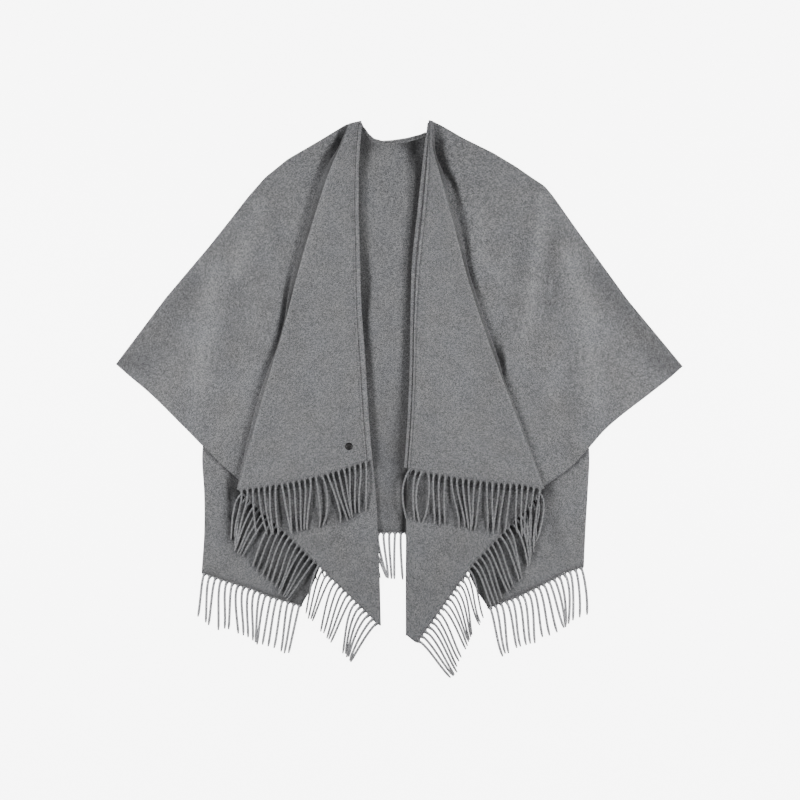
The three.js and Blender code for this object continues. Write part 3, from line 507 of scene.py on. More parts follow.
def under(side, level, points):
    """Height of the underside of a ply above the floor."""
    z = np.zeros(len(points))
    for other, adds, outline in PLIES[side]:
        if other < level:
            gap = distance(outline, points, closed=True)
            t = np.clip((DRAPE_FAR - gap) / (DRAPE_FAR - DRAPE_NEAR), 0, 1)
            z += adds * t * t * (3 - 2 * t)
    if level >= 5:
        z += rise_of(FRONT[side], FRONT_COLUMNS["outer"], FRONT_COLUMNS["rise"], points, 24)
        z += 0.6 * rise_of(FRONT[side], FRONT_COLUMNS["edge"], FRONT_COLUMNS["lift"], points, 22)
    if level >= 4:
        fold = column(FRONT[side], FRONT_COLUMNS["inner"], np.linspace(0, 1, 25))
        z += 1.2 * np.exp(-((distance(fold, points) / 22) ** 2))
    if level >= 1:
        z += rise_of(BACK[side], BACK_COLUMNS["outer"], BACK_COLUMNS["rise"], points, 26)
    if level >= 3:
        z += 0.4 * rise_of(FRONT[side], FRONT_COLUMNS["edge"], FRONT_COLUMNS["lift"], points, 26)
        shoulder = np.clip(np.abs(distance(EDGES[side]["shoulder"], points)) / 40, 0, 1)
        for start, end, high, wide in SWELLS[side]:
            z += high * np.exp(-((distance([start, end], points) / wide) ** 2)) * shoulder
        z += (0.55 * (ripple(points, 26, 1.0) + 1) + 0.3 * (ripple(points, 9, 2.3) + 1)) * shoulder
    return z


SHINE = 0.042  # light that a swell catches for each millimetre of its height
SHINING_WIDTH = 12  # only swells wider than this catch it
STRAND_SHADE, ROOT_SHADE = 0.30, 0.50  # how dark it is under a fringe, and how much more at its roots
CREASE_LIGHT, CREASE_WIDTH = 0.26, 3.6


def light_on(side, level, points):
    """How much light reaches each point of a ply: less in hollows and under strands, more on ridges."""
    light = np.ones(len(points))
    for _, its_side, its_level, hem, lay, *_ in FRINGES:
        if its_level > level and its_level > 0 and (its_side == side or level < 1):
            gap = distance(fringe_outline(hem, lay), points, closed=True)
            t = np.clip((2 - gap) / 8, 0, 1)
            root = np.exp(-((distance(hem, points) / 11) ** 2))
            light *= 1 - (STRAND_SHADE + ROOT_SHADE * root) * t * t * (3 - 2 * t)
    if level >= 3:
        swell = sum(
            high * np.exp(-((distance([start, end], points) / wide) ** 2))
            for start, end, high, wide in SWELLS[side] if wide > SHINING_WIDTH
        )
        light *= 1 + SHINE * swell
    if level == 3:
        # Painted shade in the hollow at the foot of the fold that shows.
        table = np.array(FOLD_SIDES[side])
        gap, share = beside(FRONT[side], FRONT_COLUMNS["outer"], points)
        middle, wide, dark = (np.interp(share, table[:, 0], table[:, k]) for k in (3, 4, 5))
        light *= 1 - dark * np.exp(-((gap - middle) / wide) ** 4)
    if level == 5:
        gap, _ = beside(FRONT[side], FRONT_COLUMNS["outer"], points)
        light *= 1 + CREASE_LIGHT * np.exp(-((gap / CREASE_WIDTH) ** 2))
    # Painted shade on the back's turned plies beside the sleeve's selvedge and beside the fold that shows.
    if level in (1, 2):
        gap, _ = beside(FRONT[side], FRONT_COLUMNS["selvedge"], points)
        light *= 1 - 0.45 * np.exp(-((gap / 5) ** 2))
        gap, _ = beside(FRONT[side], FRONT_COLUMNS["outer"], points)
        light *= 1 - 0.42 * np.exp(-np.abs(gap / 20) ** 3)
    if level == 0:
        for each in ("left", "right"):
            table = np.array(SLITS[each])
            gap, share = beside(FRONT[each], FRONT_COLUMNS["edge"], points)
            reach, dark, soft = (np.interp(share, table[:, 0], table[:, k]) for k in (1, 2, 3))
            deeper = 0.64 + 0.36 * np.clip(gap / reach, 0, 1)  # deepest where the shade ends
            light *= 1 - dark * deeper / (1 + np.exp((gap - reach) / soft))
        light *= 1 - 0.2 / (1 + np.exp((points[:, 1] + 60) / 50))  # darker towards the hem
    for start, end, dark, wide, its_level in SHADES["floor" if level == 0 else side]:
        if its_level == level:
            light *= 1 - dark * np.exp(-((distance([start, end], points) / wide) ** 2))
    return light


def patch(rows, shares, first_side, last_side, top=None, bottom=None):
    """Plan of a ply between two side lines, with its first and last rows on the given lines."""
    across = shares[None, :, None]
    plan = first_side[:, None, :] * (1 - across) + last_side[:, None, :] * across
    for line, weight in ((top, (1 - rows) ** 2), (bottom, rows**2)):
        if line is not None:
            line = np.array(line, dtype=float)
            chord = line[0] * (1 - shares[:, None]) + line[-1] * shares[:, None]
            plan += (along(line, shares) - chord)[None] * weight[:, None, None]
    return plan


def inward(line, towards):
    """Unit steps across a fold line, towards the cloth on one side of it."""
    run = np.gradient(line, axis=0)
    step = np.stack([-run[:, 1], run[:, 0]], axis=1)
    step /= np.hypot(*step.T)[:, None]
    return step * np.sign((step * (towards - line)).sum(axis=1))[:, None]


TURN = np.radians(np.linspace(-90, 90, 11))[1:-1]
LARGEST_ROLL, TIGHT_ROLL = 3.0, 1.2  # the most a ply gives up to the bend of a fold, and of a rolled one


def fold_up(side, rows, plies, folds):
    """Middle points of plies joined by rolled folds, as an array of rows by columns by three, with the
    cloth's own width and the light at each point."""
    columns, widths, lights = [], [], []
    for k, ply in enumerate(plies):
        sides = []
        for line, fold, other in ((ply["a"], k - 1, ply["b"]), (ply["b"], k, ply["a"])):
            if 0 <= fold < len(folds):
                radius = np.abs(under(side, folds[fold][0], line) - under(side, folds[fold][1], line)) / 2
                room = np.hypot(*(other - line).T) * 0.3 + 0.2
                cross = inward(line, other)
                if fold == k and "roll" in plies[k + 1]:
                    line = line - cross * plies[k + 1]["roll"][:, None]
                most = TIGHT_ROLL if "roll" in ply and fold < k else LARGEST_ROLL
                line = line + cross * np.minimum(np.minimum(radius, most), room)[:, None]
            sides.append(line)
        shares = ply["shares"]
        plan = patch(rows, shares, sides[0], sides[1], ply.get("top"), ply.get("bottom"))
        flat = plan.reshape(-1, 2)
        z = under(side, ply["level"], flat).reshape(plan.shape[:2]) + CLOTH / 2
        block = np.dstack([plan, z])
        if columns:
            start, end, nose = columns[-1][:, -1], block[:, 0], plies[k]["a"]
            out = inward(nose, plies[k]["b"]) * -1
            stands = ply["roll"] if "roll" in ply else np.zeros(len(rows))
            roll = []
            for angle in TURN:
                bulge, share = math.cos(angle), (1 + math.sin(angle)) / 2
                middle = nose + out * (stands * (1 - share) ** 1.5)[:, None]
                place = middle + (start[:, :2] - middle) * (1 - bulge) * (1 - share)
                place = place + (end[:, :2] - middle) * (1 - bulge) * share
                roll.append(np.column_stack([place, start[:, 2] * (1 - share) + end[:, 2] * share]))
            columns.append(np.stack(roll, axis=1))
            steps = np.linalg.norm(np.diff(columns[-1], axis=1, prepend=start[:, None]), axis=2)
            widths.append(widths[-1][:, -1:] + np.cumsum(steps, axis=1))
            # Painted shade on the roll of the fold.
            dark = ply["shade"] if "shade" in ply else np.zeros(len(rows))
            high = (1 + np.sin(TURN)) / 2
            lights.append(1 - dark[:, None] * (0.8 + 0.5 * np.exp(-(((high - 0.75) / 0.25) ** 2)))[None])
        columns.append(block)
        widths.append(ply["wide"][0][:, None] * (1 - shares) + ply["wide"][1][:, None] * shares)
        lights.append(light_on(side, ply["level"], flat).reshape(plan.shape[:2]))
    return np.concatenate(columns, axis=1), np.concatenate(widths, axis=1), np.concatenate(lights, axis=1)


def sheet_mesh(name, points, across, down, light, keep=None):
    """Grid of faces laid on the given points, with the flat cloth's own measures as its UV map and the
    light that reaches each point as an attribute."""
    count_down, count_across = points.shape[:2]
    bm = bmesh.new()
    uv = bm.loops.layers.uv.new("cloth")
    lit = bm.verts.layers.float.new("light")
    bmesh.ops.create_grid(bm, x_segments=count_across - 1, y_segments=count_down - 1, size=1.0)
    cells = {}
    for vert in bm.verts:
        i = round((1 - vert.co.y) / 2 * (count_down - 1))
        j = round((vert.co.x + 1) / 2 * (count_across - 1))
        cells[vert] = (i, j)
    for vert, (i, j) in cells.items():
        x, y, z = points[i, j]
        vert.co = (x * MM + PLAN_SHIFT[0], y * MM + PLAN_SHIFT[1], z * MM)
        vert[lit] = light[i, j]
    for face in bm.faces:
        face.smooth = True
        for loop in face.loops:
            i, j = cells[loop.vert]
            loop[uv].uv = (across[i, j] * MM, down[i, j] * MM)
    if keep is not None:
        gone = [
            face for face in bm.faces
            if not keep(min(cells[v][0] for v in face.verts), min(cells[v][1] for v in face.verts))
        ]
        bmesh.ops.delete(bm, geom=gone, context="FACES")
    return linked(name, bm)


def give_wall(obj, thickness):
    """The cloth's thickness, half on each side of its middle."""
    wall = obj.modifiers.new("wall", "SOLIDIFY")
    wall.thickness = thickness * MM
    wall.offset = 0.0


def eased(count, ends=0.6):
    """Shares from 0 to 1, closer together near both ends."""
    t = np.linspace(0, 1, count)
    return t * (1 - ends) + (t * t * (3 - 2 * t)) * ends


CLOTH_LENGTH = 745.0  # from the shoulder to a hem
FRONT_WIDTH, TOP_WIDTH, TURNED_WIDTH = 695.0, 278.0, 396.0  # a front, and its top and turned plies


# What the wool looks like: mid grey with light and dark fibres in small tufts, faint streaks along the
# weave, a short brushed nap and a soft sheen. The strands of the fringe show their twist.
def add_math(nodes, links, operation, *values):
    """Math node with each value either a number or another node's socket."""
    node = nodes.new("ShaderNodeMath")
    node.operation = operation
    for socket, value in zip(node.inputs, values):
        if isinstance(value, (int, float)):
            socket.default_value = value
        else:
            links.new(value, socket)
    return node.outputs[0]


def wool_group():
    """Heathered colour and brushed nap on a cloth's own measures."""
    group = bpy.data.node_groups.new("heathered_wool", "ShaderNodeTree")
    face = group.interface
    face.new_socket("Tone", in_out="INPUT", socket_type="NodeSocketFloat").default_value = 1.0
    face.new_socket("Colour", in_out="OUTPUT", socket_type="NodeSocketColor")
    face.new_socket("Height", in_out="OUTPUT", socket_type="NodeSocketFloat")
    nodes, links = group.nodes, group.links
    given, out = nodes.new("NodeGroupInput"), nodes.new("NodeGroupOutput")
    place = nodes.new("ShaderNodeUVMap")
    place.uv_map = "cloth"

    def noise(scale, stretch, detail, roughness=0.6):
        mapping = nodes.new("ShaderNodeMapping")
        mapping.inputs["Scale"].default_value = (stretch[0], stretch[1], 1.0)
        links.new(place.outputs["UV"], mapping.inputs["Vector"])
        texture = nodes.new("ShaderNodeTexNoise")
        texture.inputs["Scale"].default_value = scale
        texture.inputs["Detail"].default_value = detail
        texture.inputs["Roughness"].default_value = roughness
        links.new(mapping.outputs["Vector"], texture.inputs["Vector"])
        return texture.outputs["Fac"]

    specks = nodes.new("ShaderNodeTexVoronoi")
    specks.inputs["Scale"].default_value = 640.0
    links.new(place.outputs["UV"], specks.inputs["Vector"])
    split = nodes.new("ShaderNodeSeparateColor")
    links.new(specks.outputs["Color"], split.inputs[0])
    tufts = noise(760.0, (1.0, 1.0), 3.0, 0.7)
    fibres = noise(1500.0, (1.0, 1.0), 3.0, 0.7)
    weft = noise(560.0, (0.22, 1.0), 1.0)
    warp = noise(560.0, (1.0, 0.22), 1.0)
    clouds = noise(26.0, (1.0, 1.0), 3.0)
    mixed = add_math(nodes, links, "MULTIPLY", tufts, 0.45)
    weights = ((split.outputs[0], 0.11), (fibres, 0.24), (weft, 0.09), (warp, 0.06), (clouds, 0.05))
    for part, weight in weights:
        mixed = add_math(nodes, links, "MULTIPLY_ADD", part, weight, mixed)
    ramp = nodes.new("ShaderNodeValToRGB")
    ramp.color_ramp.elements[0].position = 0.41
    ramp.color_ramp.elements[0].color = (0.060, 0.061, 0.065, 1.0)
    ramp.color_ramp.elements[1].position = 0.67
    ramp.color_ramp.elements[1].color = (0.56, 0.555, 0.56, 1.0)
    middle = ramp.color_ramp.elements.new(0.53)
    middle.color = (0.215, 0.217, 0.223, 1.0)
    links.new(mixed, ramp.inputs["Fac"])
    # The light attribute is painted light and shade, and the colour is multiplied by it.
    lit = nodes.new("ShaderNodeAttribute")
    lit.attribute_name = "light"
    bright = add_math(nodes, links, "MULTIPLY", lit.outputs["Fac"], given.outputs["Tone"])
    tint = nodes.new("ShaderNodeMix")  # some fibres and broad clouds lean blue, and some lean brown
    tint.data_type = "RGBA"
    tint.inputs["A"].default_value = (0.95, 0.99, 1.07, 1.0)
    tint.inputs["B"].default_value = (1.05, 1.01, 0.94, 1.0)
    lean = add_math(nodes, links, "MULTIPLY", noise(480.0, (1.0, 1.0), 2.0), 0.55)
    lean = add_math(nodes, links, "MULTIPLY_ADD", noise(14.0, (1.0, 1.0), 1.0), 0.45, lean)
    links.new(lean, tint.inputs["Factor"])
    tinted = nodes.new("ShaderNodeVectorMath")
    tinted.operation = "MULTIPLY"
    links.new(ramp.outputs["Color"], tinted.inputs[0])
    links.new(tint.outputs["Result"], tinted.inputs[1])
    toned = nodes.new("ShaderNodeVectorMath")
    toned.operation = "SCALE"
    links.new(tinted.outputs[0], toned.inputs[0])
    links.new(bright, toned.inputs["Scale"])
    links.new(toned.outputs[0], out.inputs["Colour"])
    height = add_math(nodes, links, "MULTIPLY_ADD", tufts, 0.6, fibres)
    links.new(height, out.inputs["Height"])
    return group


WOOL = wool_group()
CORD_ROUND = 0.0104  # length round a strand, in metres, that its UV map is laid out on
TWIST_LENGTH = 0.007  # one turn of a strand's two plies, in metres


def wool_material(name, tone, bump, twist=0.0):
    """Wool for one kind of piece. A twist above nothing winds two plies round a strand."""
    material = bpy.data.materials.new(name)
    material.use_nodes = True
    nodes, links = material.node_tree.nodes, material.node_tree.links
    shader = nodes["Principled BSDF"]
    wool = nodes.new("ShaderNodeGroup")
    wool.node_tree = WOOL
    wool.inputs["Tone"].default_value = tone
    colour, height = wool.outputs["Colour"], wool.outputs["Height"]
    if twist:
        place = nodes.new("ShaderNodeUVMap")
        place.uv_map = "cloth"
        parts = nodes.new("ShaderNodeSeparateXYZ")
        links.new(place.outputs["UV"], parts.inputs[0])
        # Darker stripes that wind round the cord: painted shade in the grooves between its two plies.
        turn = add_math(nodes, links, "MULTIPLY", parts.outputs["X"], 4 * math.pi / CORD_ROUND)
        turn = add_math(nodes, links, "MULTIPLY_ADD", parts.outputs["Y"], 2 * math.pi / TWIST_LENGTH, turn)
        wave = add_math(nodes, links, "MULTIPLY_ADD", add_math(nodes, links, "SINE", turn), 0.5, 0.5)
        shade = add_math(nodes, links, "MULTIPLY_ADD", wave, twist, 1 - twist)
        scaled = nodes.new("ShaderNodeVectorMath")
        scaled.operation = "SCALE"
        links.new(colour, scaled.inputs[0])
        links.new(shade, scaled.inputs["Scale"])
        colour = scaled.outputs[0]
        height = add_math(nodes, links, "MULTIPLY_ADD", wave, 2.0, height)
    links.new(colour, shader.inputs["Base Color"])
    nap = nodes.new("ShaderNodeBump")
    nap.inputs["Strength"].default_value = bump
    nap.inputs["Distance"].default_value = 0.0006
    links.new(height, nap.inputs["Height"])
    links.new(nap.outputs["Normal"], shader.inputs["Normal"])
    shader.inputs["Roughness"].default_value = 0.92
    shader.inputs["Specular IOR Level"].default_value = 0.2
    shader.inputs["Sheen Weight"].default_value = 0.3
    shader.inputs["Sheen Roughness"].default_value = 0.5
    return material


cloth_material = wool_material("brushed_wool", 1.14, 0.5)
# The cords are the same yarn as the cloth; their lighter tone is painted light on the raised cords.
strand_material = wool_material("twisted_wool", 1.8, 0.35, 0.18)


# Front panels: from the selvedge the cloth runs under to the fold near the slit, back over itself with
# its reverse side up to the fold that shows, and on to the front edge.
def lip(points, across, down, light, depth, out):
    """First rows of a panel carried on over its shoulder edge, down to the ply below."""
    first, run = points[0], np.gradient(points[0], axis=0)
    step = np.stack([-run[:, 1], run[:, 0]], axis=1)
    step /= np.maximum(np.hypot(*step.T), 1e-6)[:, None]
    step *= np.sign((step * (first - points[3])[:, :2]).sum(axis=1))[:, None]
    rows = []
    for angle in np.radians([-70, -35, 0, 35, 65]):
        high = (1 - math.sin(angle)) / 2
        place = first.copy()
        place[:, :2] += step * (out * math.cos(angle))
        place[:, 2] -= depth * high
        rows.append(place)
    count = len(rows)
    return (
        np.concatenate([np.array(rows), points]),
        np.concatenate([np.repeat(across[:1], count, axis=0), across]),
        np.concatenate([down[:1] - np.arange(count, 0, -1)[:, None] * 1.5, down]),
        np.concatenate([np.repeat(light[:1], count, axis=0), light]),
    )


FOLDS_START = 25  # from the front edge to the place on the shoulder where both folds start


def front_sheet(side):
    """Points, cloth measures and light of one front."""
    rows = np.unique(np.concatenate([eased(112, 0.3), [0.006, 0.012, 0.02]]))
    table = FRONT[side]
    line = {key: column(table, index, rows) for key, index in FRONT_COLUMNS.items()}
    edges = EDGES[side]
    inner_at = FOLDS_START + (TOP_WIDTH + TURNED_WIDTH - FOLDS_START) * rows
    outer_at = FOLDS_START + (TOP_WIDTH - FOLDS_START) * rows
    zero = np.zeros_like(rows)
    sides = np.array(FOLD_SIDES[side])
    plies = [
        {"level": 3, "a": line["selvedge"], "b": line["inner"], "top": edges["shoulder"][::-1],
         "shares": eased(118, 0.3), "wide": (zero + FRONT_WIDTH, inner_at)},
        {"level": 4, "a": line["inner"], "b": line["outer"], "bottom": edges["turned_hem"],
         "shares": eased(44, 0.6), "wide": (inner_at, outer_at)},
        {"level": 5, "a": line["outer"], "b": line["edge"], "bottom": edges["top_hem"],
         "shares": eased(52, 0.7), "wide": (outer_at, zero),
         "roll": np.interp(rows, sides[:, 0], sides[:, 1]),
         "shade": np.interp(rows, sides[:, 0], sides[:, 2])},
    ]
    points, across, light = fold_up(side, rows, plies, [(3, 4), (4, 5)])
    return rows, points, across, light


FRONT_SHEETS = {}
for side in ("left", "right"):
    rows, points, across, light = front_sheet(side)
    FRONT_SHEETS[side] = (rows, points, light)
    down = np.repeat(rows[:, None], points.shape[1], axis=1) * CLOTH_LENGTH
    panel = sheet_mesh("front_" + side + "_cloth", *lip(points, across, down, light, 2.0, 1.6))
    give_wall(panel, CLOTH)
    panel.data.materials.append(cloth_material)
    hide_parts("front_" + side + "_panel")
    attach(panel, "root")


# Back panel: its middle lies on the floor, and each side is turned up over it and back out again, so
# that its selvedge lies under the sleeve.
BACK_ROWS = np.unique(np.concatenate([np.linspace(0, 1, 81), [0.006, 0.012, BACK_FOLD_ENDS]]))
BACK_HALF = 750.0  # half the width of the back
TOP_PLY_COLUMNS = 40


def back_side(side):
    """Turned plies of one side of the back, from the selvedge to the fold on the floor."""
    table, edges, rows = BACK[side], EDGES[side], BACK_ROWS
    line = {key: column(table, index, rows) for key, index in BACK_COLUMNS.items()}
    sign = -1 if side == "left" else 1
    reach = abs(line["outer"][0][0]) + 4
    shoulder = [tuple(line["inner"][0])] + [p for p in edges["shoulder"][:-1] if sign * p[0] > reach]
    shoulder.append(tuple(line["selvedge"][0]))
    selvedge_at = np.full_like(rows, BACK_HALF)
    inner_at = BACK_HALF - 430 * (1 - rows / BACK_FOLD_ENDS)
    outer_at = 380 + 150 * rows
    plies = [
        {"level": 2, "a": line["selvedge"], "b": line["inner"], "top": shoulder[::-1],
         "shares": eased(TOP_PLY_COLUMNS, 0.5), "wide": (selvedge_at, inner_at)},
        {"level": 1, "a": line["inner"], "b": line["outer"], "bottom": edges["back_hem"][::-1],
         "shares": eased(32, 0.6), "wide": (inner_at, outer_at)},
        {"level": 0, "a": line["outer"], "b": line["inner"], "shares": np.array([0.0]),
         "wide": (outer_at, outer_at)},
    ]
    points, across, light = fold_up(side, rows, plies, [(2, 1), (1, 0)])
    return points, across * sign, light


left_points, left_across, left_light = back_side("left")
right_points, right_across, right_light = back_side("right")
top_line = (
    [tuple(left_points[0, -1, :2])]
    + [p for p in EDGES["left"]["shoulder"][::-1] if -290 < p[0] < -100]
    + NECK[1:]
    + [p for p in EDGES["right"]["shoulder"] if 65 < p[0] < 295]
    + [tuple(right_points[0, -1, :2])]
)
bottom_line = [tuple(left_points[-1, -1, :2])] + FLOOR_HEM[1:-1] + [tuple(right_points[-1, -1, :2])]
floor_shares = np.unique(np.concatenate([
    np.linspace(0, 0.34, 34), np.linspace(0.34, 0.60, 90), np.linspace(0.60, 1, 38),
]))
floor_plan = patch(
    BACK_ROWS, floor_shares, left_points[:, -1, :2], right_points[:, -1, :2], top_line, bottom_line,
)
floor_points = np.dstack([floor_plan, np.full(floor_plan.shape[:2], CLOTH / 2)])
floor_light = light_on("left", 0, floor_plan.reshape(-1, 2)).reshape(floor_plan.shape[:2])
floor_across = left_across[:, -1:] * (1 - floor_shares) + right_across[:, -1:] * floor_shares
back_points = np.concatenate([left_points[:, :-1], floor_points, right_points[:, ::-1][:, 1:]], axis=1)
back_across = np.concatenate([left_across[:, :-1], floor_across, right_across[:, ::-1][:, 1:]], axis=1)
back_light = np.concatenate([left_light[:, :-1], floor_light, right_light[:, ::-1][:, 1:]], axis=1)
back_down = np.repeat(BACK_ROWS[:, None], back_points.shape[1], axis=1) * CLOTH_LENGTH
top_ply = TOP_PLY_COLUMNS + len(TURN)
fold_row = int(np.argmin(np.abs(BACK_ROWS - BACK_FOLD_ENDS)))
last_column = back_points.shape[1] - 1
back_cloth = sheet_mesh(
    "back_cloth", back_points, back_across, back_down, back_light,
    lambda i, j: i < fold_row or top_ply <= j < last_column - top_ply,
)
give_wall(back_cloth, CLOTH)
back_cloth.data.materials.append(cloth_material)
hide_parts("back_panel")
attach(back_cloth, "root")


# Turned edges: the cloth is turned in twice along both front edges and the back of the neck, and
# topstitched, which leaves rounded ridges with narrow grooves between them.
BANDS = {
    # from the edge inwards, height over the middle of the panel, light
    "left": [(0.4, -1.3, 0.8), (-0.9, -1.0, 0.9), (-1.5, 0.1, 1.1), (-0.8, 1.4, 1.2), (0.8, 2.0, 1.2),
             (3.0, 2.0, 1.14), (5.6, 1.8, 1.1), (7.4, 1.5, 0.95), (8.2, 0.8, 0.5), (8.8, 0.6, 0.38),
             (9.4, 0.8, 0.6), (10.2, 1.4, 1.06), (12.0, 1.5, 1.04), (13.4, 1.0, 0.85), (14.4, 1.0, 1.0)],
    "right": [(0.4, -1.3, 0.8), (-0.9, -1.0, 0.9), (-1.6, 0.1, 1.1), (-0.8, 1.4, 1.15), (0.8, 2.1, 1.1),
              (3.4, 2.3, 1.0), (5.4, 1.9, 0.85), (6.8, 0.9, 0.45), (8.4, 0.4, 0.28), (9.8, 1.0, 0.5),
              (11.0, 2.2, 1.15), (12.6, 2.6, 1.2), (14.8, 2.4, 1.15), (16.2, 1.6, 0.85), (17.0, 0.8, 0.5),
              (17.8, 1.2, 0.9), (19.0, 1.0, 1.0)],
    "neck": [(0.4, -0.5, 0.8), (-0.9, -0.45, 0.9), (-1.5, 0.2, 1.05), (-0.8, 1.3, 1.1), (0.8, 1.7, 1.1),
             (2.4, 1.3, 0.8), (3.2, 0.7, 0.5), (4.0, 1.3, 0.8), (5.4, 1.6, 1.0), (6.8, 1.4, 0.9),
             (7.6, 0.9, 0.7)],
}
# How much of its full width a turned edge has, along its length.
NARROWING = {
    "left": [(0, 0.7), (0.4, 0.78), (0.65, 1.1), (1, 1.0)],
    "right": [(0, 0.7), (0.08, 1.0), (0.4, 0.95), (0.6, 0.62), (1, 0.6)],
    "neck": [(0, 1.0), (1, 1.0)],
}
BAND_WALL = 0.5


def band_mesh(name, key, panel, along_edge, light):
    """Turned edge that lies on a panel's own points. Each row of them starts at the panel's edge."""
    steps = np.linalg.norm(np.diff(panel, axis=1), axis=2)
    reach = np.concatenate([np.zeros((len(panel), 1)), np.cumsum(steps, axis=1)], axis=1)
    run = np.gradient(panel[:, 0], axis=0)
    inner = np.array([
        [np.interp(4.0, reach[i], panel[i, :, k]) for k in range(3)] for i in range(len(panel))
    ])
    step = inner - panel[:, 0]
    step /= np.linalg.norm(step, axis=1)[:, None]
    normal = np.cross(run, step)
    normal /= np.linalg.norm(normal, axis=1)[:, None]
    normal *= np.sign(normal[:, 2])[:, None]
    narrow = np.array(NARROWING[key])
    points = np.zeros((len(panel), len(BANDS[key]), 3))
    for i in range(len(panel)):
        scale = np.interp(i / (len(panel) - 1), narrow[:, 0], narrow[:, 1])
        for j, (inwards, high, _) in enumerate(BANDS[key]):
            far = inwards * scale if inwards > 0 else inwards
            place = np.array([np.interp(far, reach[i], panel[i, :, k]) for k in range(3)])
            points[i, j] = place + step[i] * min(far, 0) + normal[i] * high
    across = np.repeat(np.array([[row[0] for row in BANDS[key]]]), len(panel), axis=0)
    down = np.repeat(along_edge[:, None], len(BANDS[key]), axis=1)
    # Painted light and shade of the band's ridges and grooves.
    tone = np.array([[row[2] for row in BANDS[key]]]) * light[:, None]
    return sheet_mesh(name, points, across, down, tone)


for side in ("left", "right"):
    rows, points, light = FRONT_SHEETS[side]
    band = band_mesh("front_" + side + "_turned_edge", side, points[2:, ::-1][:, :24],
                     rows[2:] * CLOTH_LENGTH, light[2:, -1])
    give_wall(band, BAND_WALL)
    band.data.materials.append(cloth_material)
    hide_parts("front_" + side + "_band")
    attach(band, "root")

NECK_FROM, NECK_TO, NECK_TOP = -72, 52, 545
top_row = back_points[0]
neck_columns = [
    j for j in range(top_ply + 20, last_column - top_ply - 20)
    if NECK_FROM < top_row[j, 0] < NECK_TO and top_row[j, 1] < NECK_TOP
]
neck_band = band_mesh("neck_turned_edge", "neck", back_points[:6, neck_columns].transpose(1, 0, 2),
                      top_row[neck_columns, 0], np.ones(len(neck_columns)))
give_wall(neck_band, BAND_WALL)
neck_band.data.materials.append(cloth_material)
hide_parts("neck_band")
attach(neck_band, "root")


# Fringe: the warp ends past each hem, twisted in pairs into cords that lie where they fell, some of
# them drawn together at their tips. Each cord grows out of a small web, so the hem ends in arches.
PITCH = 11.5
STRAND_SIDES, STRAND_RINGS = 5, 12
WEB_ACROSS, WEB_DOWN = 6, 3
OPEN_FLOOR = (-62, 22)  # strands of the floor hem between these places are seen between the fronts
OPEN_THICKNESS = 2.5


def strand_plan(root, out, tip, bow, sway, shares):
    """Places along one strand in plan: it leaves the hem squarely, then bends to where it lies."""
    ahead = tip - root
    length = np.hypot(*ahead)
    across = np.array([-ahead[1], ahead[0]]) / length
    handles = (root, root + out * length * 0.26 + across * sway, root + ahead * 0.68 + across * bow, tip)
    weights = ((1 - shares) ** 3, 3 * shares * (1 - shares) ** 2, 3 * shares**2 * (1 - shares), shares**3)
    return sum(weight[:, None] * handle for weight, handle in zip(weights, handles))


def add_strand(bm, uv, lit, path, thickness, light, side_shade):
    """One cord along a path, with less light on its sides than on top."""
    before = set(bm.faces)
    made = bmesh.ops.create_grid(bm, x_segments=STRAND_SIDES, y_segments=STRAND_RINGS - 1, size=1.0)
    run = np.gradient(path, axis=0)
    run /= np.linalg.norm(run, axis=1)[:, None]
    side_way = np.cross(run, np.array([0.0, 0.0, 1.0]))
    side_way /= np.linalg.norm(side_way, axis=1)[:, None]
    up_way = np.cross(side_way, run)
    reach = np.concatenate([[0], np.cumsum(np.linalg.norm(np.diff(path, axis=0), axis=1))])
    cells = {}
    for vert in made["verts"]:
        i = round((1 - vert.co.y) / 2 * (STRAND_RINGS - 1))
        j = round((vert.co.x + 1) / 2 * STRAND_SIDES)
        angle = 2 * math.pi * (j / STRAND_SIDES + 0.25)
        thick = thickness * (0.6 if i == STRAND_RINGS - 1 else 1.0 if i else 0.8)
        place = path[i] + side_way[i] * thick * 1.08 * math.cos(angle)
        place += up_way[i] * thick * 0.92 * math.sin(angle)
        vert.co = (place[0] * MM + PLAN_SHIFT[0], place[1] * MM + PLAN_SHIFT[1], place[2] * MM)
        vert[lit] = light * (1 - side_shade * (1 - max(0.0, math.sin(angle))))
        cells[vert] = (reach[i] * MM, j / STRAND_SIDES)
    for face in set(bm.faces) - before:
        face.smooth = True
        for loop in face.loops:
            loop[uv].uv = (cells[loop.vert][1] * CORD_ROUND, cells[loop.vert][0])


def add_web(bm, uv, lit, side, level, hem, share, half, ahead):
    """Small web that a cord grows out of, wide at the hem and as narrow as the cord at its end."""
    before = set(bm.faces)
    made = bmesh.ops.create_grid(bm, x_segments=WEB_ACROSS, y_segments=WEB_DOWN, size=1.0)
    cells, places = {}, []
    for vert in made["verts"]:
        aside, out = vert.co.x, (1 - vert.co.y) / 2
        deep = 1.0 + 9.5 * (1 - abs(aside)) ** 1.7
        places.append((vert, aside, out * deep - 1.2 * (1 - out)))
    roots = along(hem, np.clip([share + aside * half for _, aside, _ in places], 0, 1))
    plan = roots + ahead * np.array([[out] for _, _, out in places])
    z = under(side, level, plan) + CLOTH / 2 + 0.3
    for (vert, aside, out), (x, y), high in zip(places, plan, z):
        vert.co = (x * MM + PLAN_SHIFT[0], y * MM + PLAN_SHIFT[1], (high + 0.5 * (1 - abs(aside))) * MM)
        # Painted shade on the web's sides; its middle is lighter.
        vert[lit] = 0.8 + 0.2 * (1 - abs(aside))
        cells[vert] = (aside * PITCH / 2 * MM, out * MM)
    for face in set(bm.faces) - before:
        face.smooth = True
        for loop in face.loops:
            loop[uv].uv = cells[loop.vert]


